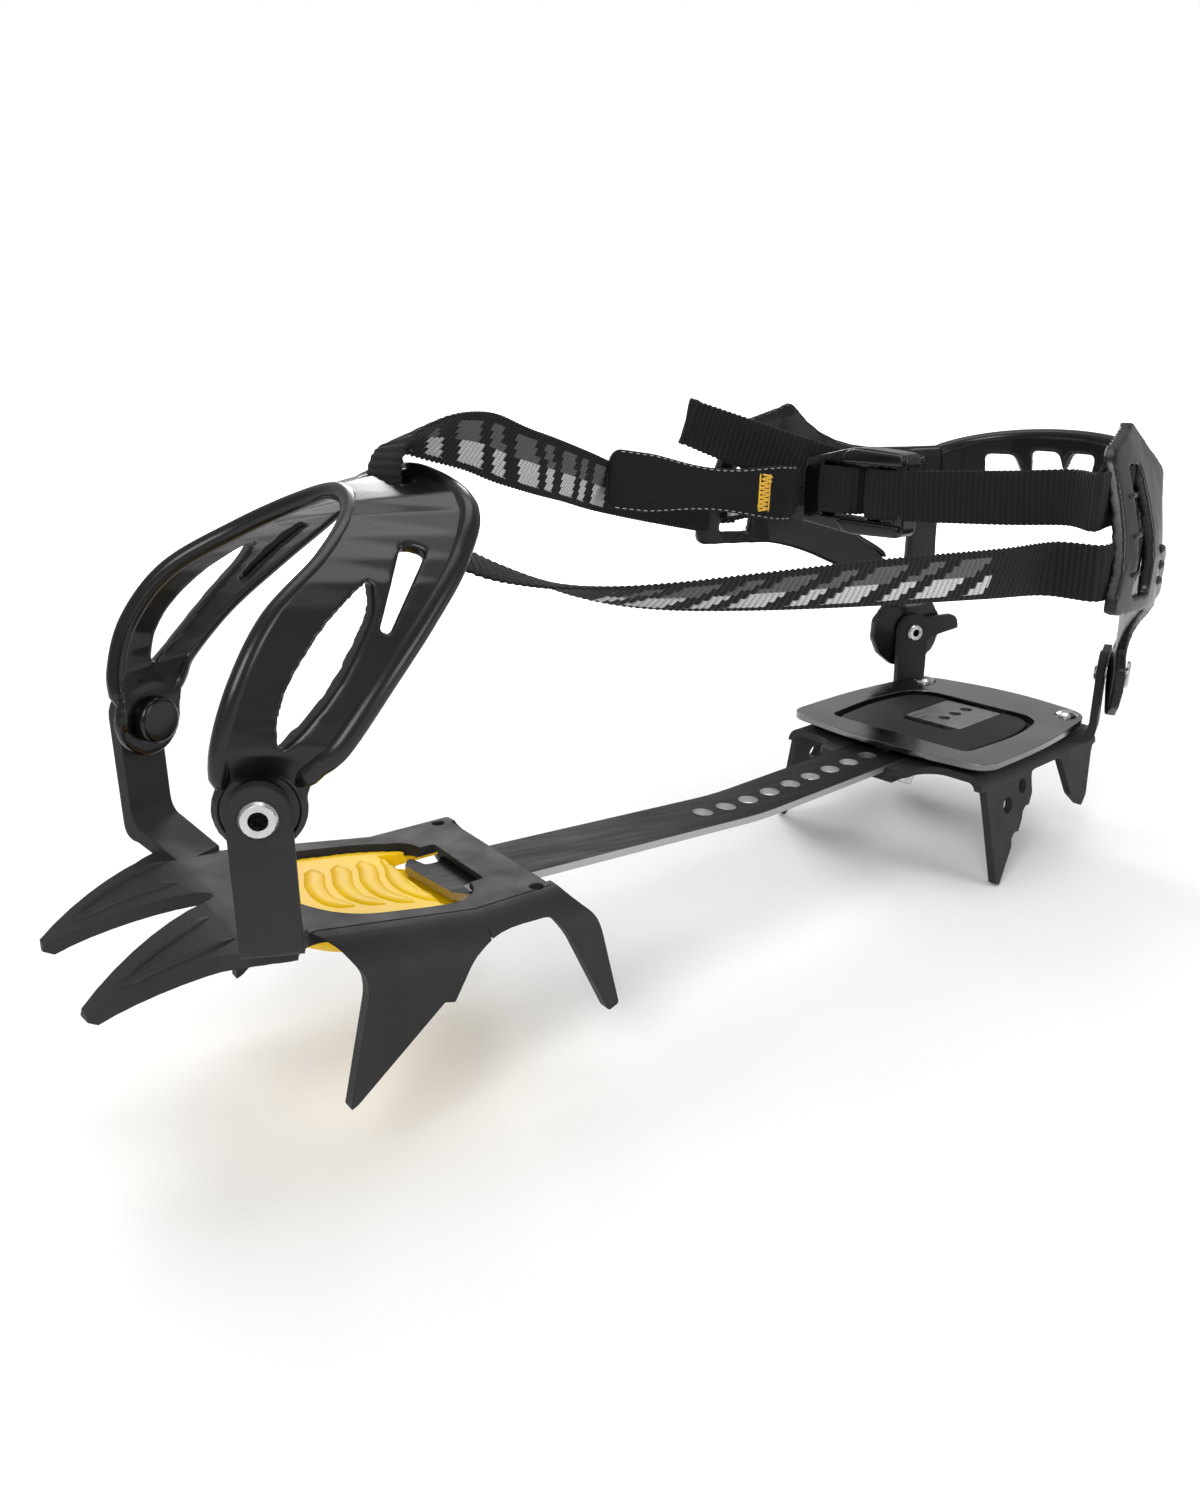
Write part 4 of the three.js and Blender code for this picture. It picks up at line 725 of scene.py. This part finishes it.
TAB_THICK = 1.9
rings = []
stations = [0.05, 0.3, 0.8, 1.6, 2.6, 3.6] + [5 + 1.4 * i for i in range(48)] + [
    TAB_LENGTH - d for d in (3.6, 2.6, 1.6, 0.8, 0.3, 0.05)]
for s in stations:
    half, centre = max(0.4, tab_half(s)), tab_centre(s)
    ring = []
    for k in range(28):
        a = 2 * math.pi * k / 28
        x = math.copysign(abs(math.cos(a)) ** 0.35, math.cos(a))
        y = math.copysign(abs(math.sin(a)) ** 0.6, math.sin(a))
        ring.append(centre + TAB_ACROSS * half * x + TAB_OUT * TAB_THICK / 2 * y)
    rings.append(ring)
tab = lofted("pull_tab_leather", rings, BLACK_LEATHER, "pull_tab")
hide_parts("pull_tab")


def stitch(name, start, end, lift, radius, material, body):
    """One visible stitch: a short thread that arches over the leather."""
    middle = (start + end) / 2 + lift
    keys = [(*(start - lift * 0.4), *lift), (*(start * 0.75 + middle * 0.25 + lift * 0.5), *lift),
            (*middle, *lift), (*(end * 0.75 + middle * 0.25 + lift * 0.5), *lift),
            (*(end - lift * 0.4), *lift)]
    return bead(name, keys, radius, material, body, sides=7, step=0.5)


number = 0
for edge in (1, -1):
    s = 4.0
    while s < TAB_LENGTH - 4:
        inset = tab_half(s) - 0.55
        here = tab_centre(s) + TAB_ACROSS * edge * inset + TAB_OUT * TAB_THICK * 0.42
        onward = tab_half(s + 1.5) - 0.55
        there = tab_centre(s + 1.5) + TAB_ACROSS * edge * onward + TAB_OUT * TAB_THICK * 0.42
        stitch(f"tab_edge_stitch_{number}", here, there, TAB_OUT * 0.16, 0.16, PALE_THREAD,
               "pull_tab")
        number += 1
        s += 2.6

# Bar tack: close zigzag threads across the tab, a quarter of the way down.
tack_points = []
for i in range(17):
    side = 1 if i % 2 == 0 else -1
    v = 5.6 - 11.2 * i / 16
    s = 17.2 + side * (1.9 + 0.25 * math.sin(i * 2.3))
    p = tab_centre(s) + TAB_ACROSS * v + TAB_OUT * (TAB_THICK / 2 + 0.22)
    tack_points.append((*p, *TAB_OUT))
tack = bead("tab_bar_tack", tack_points, 0.36, YELLOW_THREAD, "pull_tab", sides=8, step=0.4)
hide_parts("tab_stitching")
for name, s in (("tab_tack_rail_left", 15.2), ("tab_tack_rail_right", 19.2)):
    rail = []
    for v in (-5.9, -3, 0, 3, 5.9):
        p = tab_centre(s + 0.1 * v) + TAB_ACROSS * v + TAB_OUT * (TAB_THICK / 2 + 0.1)
        rail.append((*p, *TAB_OUT))
    bead(name, rail, 0.3, YELLOW_THREAD, "pull_tab", sides=7)


# ---------------------------------------------------------------- moulded and pressed detail
def surface(name):
    """Finds heights on a CAD node's surface."""
    obj = nodes[name]
    mesh = bmesh.new()
    mesh.from_mesh(obj.data)
    tree = BVHTree.FromBMesh(mesh)
    mesh.free()
    return tree


def ridge(name, keys, tree, half, height, material, body, sink=0.5, ends=3.0):
    """A low ridge that lies on a surface along keys (x, y), half wide and height tall."""
    path = Path([(x, y, 0) for x, y in keys])
    count = max(6, round(path.length / 0.8))
    rings = []
    for i in range(count + 1):
        s = path.length * i / count
        centre = path.at(s)[0]
        run = path.tangent(s)
        side = Vector((-run.y, run.x, 0))
        fade = min(1.0, max(0.06, min(s, path.length - s) / ends)) ** 0.6
        ring = []
        for k in range(7):
            a = -1 + 2 * k / 6
            p = centre + side * half * fade * a
            z = drop(tree, p)
            ring.append(Vector((p.x, p.y, z - 0.15 + (height * fade + 0.15) * (1 - a * a) ** 0.7)))
        for a in (1, -1):
            p = centre + side * half * fade * a
            ring.append(Vector((p.x, p.y, drop(tree, p) - sink)))
        rings.append(ring)
    return lofted(name, rings, material, body)


def drop(tree, p):
    hit = tree.ray_cast(Vector((p.x, p.y, 60)) * MM, Vector((0, 0, -1)))
    if hit[0] is None:
        return tree.find_nearest(Vector((p.x, p.y, 4)) * MM)[0].z / MM
    return hit[0].z / MM


front_sheet = surface("front_plate")
for side, word in ((1, "left"), (-1, "right")):
    rails = (
        [(side * 9.6, -70), (side * 11.8, -76), (side * 14, -84), (side * 15.4, -90.5)],
        [(side * 21.6, -69), (side * 21.4, -76), (side * 19.6, -84), (side * 18, -90.5)],
    )
    for rail, place in zip(rails, ("inner", "outer")):
        ridge(f"front_point_{word}_{place}_rib", rail, front_sheet, 1.3, 0.8, BLACK_STEEL, "front_section")

snow = surface("front_snow_plate")
for i in range(4):
    y = -22 - 6.6 * i
    swirl = [(14.5 - i, y + 2.4), (7.5, y - 1.6), (0, y - 1.4), (-7.5, y + 1.4), (-14.5 + i, y + 2.6)]
    ridge(f"snow_plate_swirl_{i}", swirl, snow, 2.6, 0.6, YELLOW_PLASTIC, "front_section")

# Front cradle: rolled edges along both sides of the arch, rim and rivet cap on each ear.
CRADLE_FRONT = [
    (30.6, -71.4, 42), (31.9, -71.2, 50), (32, -67, 61), (28.8, -58.5, 71.5),
    (22.4, -45, 79.5), (12, -34.5, 85.8), (0, -31, 88.6)]
CRADLE_REAR = [
    (35.4, -60, 42), (38.2, -56.4, 46), (41.2, -52.8, 50), (40.2, -43, 60),
    (36.4, -32, 69.5), (31, -21.6, 78.6), (22.6, -14.6, 87), (0, -13.4, 91)]


def whole_arch(half):
    """The half curve from left ear to crown, and its mirror image down to the right ear."""
    return list(half) + [(-x, y, z) for x, y, z in reversed(half[:-1])]


for name, curve, radius in (("front", CRADLE_FRONT, 2.0), ("rear", CRADLE_REAR, 2.3)):
    keys = [(x, y, z, x * 0.5, 0, z - 30) for x, y, z in whole_arch(curve)]
    bead(f"front_cradle_rolled_{name}_edge", keys, radius, BLACK_PLASTIC, "front_basket",
         sides=14)

for side, word in ((1, "left"), (-1, "right")):
    matrix = outward_frame(side)
    rim = []
    for k in range(24):
        a = 2 * math.pi * k / 24
        p = matrix @ Vector((7.4 * math.cos(a), 7.4 * math.sin(a), -4.7))
        rim.append((*p, *(matrix.to_3x3() @ Vector((0, 0, 1)))))
    bead(f"front_ear_rim_{word}", rim, 0.55, BLACK_PLASTIC, "front_basket", closed=True)
    cap = [(0, -10.3), (4.2, -10.3), (4.9, -10.0), (5.2, -9.4), (5.2, -7.2), (0, -7.2)]
    turned(f"front_rivet_cap_{word}", cap, matrix, BLACK_PLASTIC, "front_basket")

# Rear cradle: ribs along the wings, grip ribs on the strap rings, rolled arch edges.
for side, word in ((1, "left"), (-1, "right")):
    for i, (low, high) in enumerate(((14, 43), (19, 47.5), (24, 52))):
        keys = []
        for u in (6 + 2 * i, 16, 28, 42, 56):
            t = (u - 6) / 50
            v = low + 14 + (high - low) * t ** 0.75 - 4
            p = wing_point(side, u, v, 5.2)
            q = wing_point(side, u, v, 6.2)
            keys.append((*p, *(q - p)))
        bead(f"wing_rib_{word}_{i}", keys, 1.3, BLACK_PLASTIC, "rear_basket")
    for i, v in enumerate((58, 68, 78)):
        keys = []
        for du in (-2.6, 2.6):
            u = 82.8 - (v - 52) * 0.25 + du
            p = wing_point(side, u, v, 5.2)
            q = wing_point(side, u, v, 6.2)
            keys.append((*p, *(q - p)))
        bead(f"ring_grip_{word}_{i}", keys, 0.7, BLACK_PLASTIC, "rear_basket")

for name, low, rise, radius in (("top", 74, 9.5, 2.3), ("bottom", 57, 6, 2.1)):
    keys = []
    for i in range(15):
        a = -0.1 + (math.pi + 0.2) * i / 14
        crown_share = math.sin(max(0.0, min(math.pi, a)))
        p = heel_point(42.3 * math.cos(a), REAR_PIVOT[1] + 29 * math.sin(a), low + rise * crown_share)
        keys.append((*p, 0, 0, 1))
    bead(f"heel_arch_{name}_edge", keys, radius, BLACK_PLASTIC, "rear_basket", sides=12)

# ---------------------------------------------------------------- floor, light and camera
CAMERA_PLACE = (229.7, -134.5, 120.0)
CAMERA_AIM = (-0.7588, 0.5596, -0.3332)
CAMERA_LENS = 28.65
FLOOR_FADE = (0.3, 0.75)  # metres from the origin over which the floor turns white
AMBIENT = 0.5  # light from the backdrop; the camera itself sees it white
floor_z = cad_box[0].z - 0.0005
bpy.ops.mesh.primitive_plane_add(size=40, location=(0, 0, floor_z))
floor = bpy.context.object
floor.name = "floor"
pale = Finish("pale_floor", (0.9, 0.9, 0.9), 0.9)
pale.paint(pale.mix(pale.span(pale.noise(3, 2), 0, 1), (0.88, 0.88, 0.88), (0.92, 0.92, 0.92)))
# Far from the crampon the floor brightens to the white of the backdrop, for the camera alone.
position = pale.node("NewGeometry").outputs["Position"]
apart = pale.node("VectorMath", {0: position}, operation="LENGTH").outputs["Value"]
reach = {"Value": apart, "From Min": FLOOR_FADE[0], "From Max": FLOOR_FADE[1]}
fade = pale.node("MapRange", reach, interpolation_type="SMOOTHSTEP")
seen = pale.node("LightPath").outputs["Is Camera Ray"]
pale.feed(pale.shader, "Emission Color", (1, 1, 1, 1))
pale.feed(pale.shader, "Emission Strength", pale.math("MULTIPLY", fade.outputs[0], seen))
floor.data.materials.append(pale.material)

scene = bpy.context.scene
scene.world = bpy.data.worlds.new("studio")
scene.world.use_nodes = True
sky = scene.world.node_tree.nodes["Background"]
seen = scene.world.node_tree.nodes.new("ShaderNodeLightPath").outputs["Is Camera Ray"]
level = scene.world.node_tree.nodes.new("ShaderNodeMapRange")
level.inputs["To Min"].default_value = AMBIENT
level.inputs["To Max"].default_value = 1.0
scene.world.node_tree.links.new(seen, level.inputs["Value"])
scene.world.node_tree.links.new(level.outputs[0], sky.inputs[1])
sky.inputs[0].default_value = (1, 1, 1, 1)
scene.view_settings.view_transform = "Standard"


def soft_light(name, where, target, size, watts):
    light = bpy.data.lights.new(name, "AREA")
    light.size = size
    light.energy = watts
    obj = bpy.data.objects.new(name, light)
    obj.location = where
    obj.rotation_euler = (Vector(target) - Vector(where)).to_track_quat("-Z", "Y").to_euler()
    scene.collection.objects.link(obj)


centre = (0, 0.05, 0.02)
soft_light("key", (0.55, -0.75, 0.75), centre, 0.5, 7)
soft_light("top", (-0.15, 0.15, 1.0), centre, 0.7, 3.5)
soft_light("side", (0.9, 0.5, 0.35), centre, 0.4, 3)
soft_light("back", (-0.8, 0.5, 0.5), centre, 0.4, 4)

camera = bpy.data.objects.new("camera", bpy.data.cameras.new("camera"))
scene.collection.objects.link(camera)
camera.location = Vector(CAMERA_PLACE) * MM
camera.rotation_euler = Vector(CAMERA_AIM).to_track_quat("-Z", "Y").to_euler()
camera.data.lens = CAMERA_LENS
camera.data.sensor_width = 36
camera.data.clip_start = 0.005
scene.camera = camera
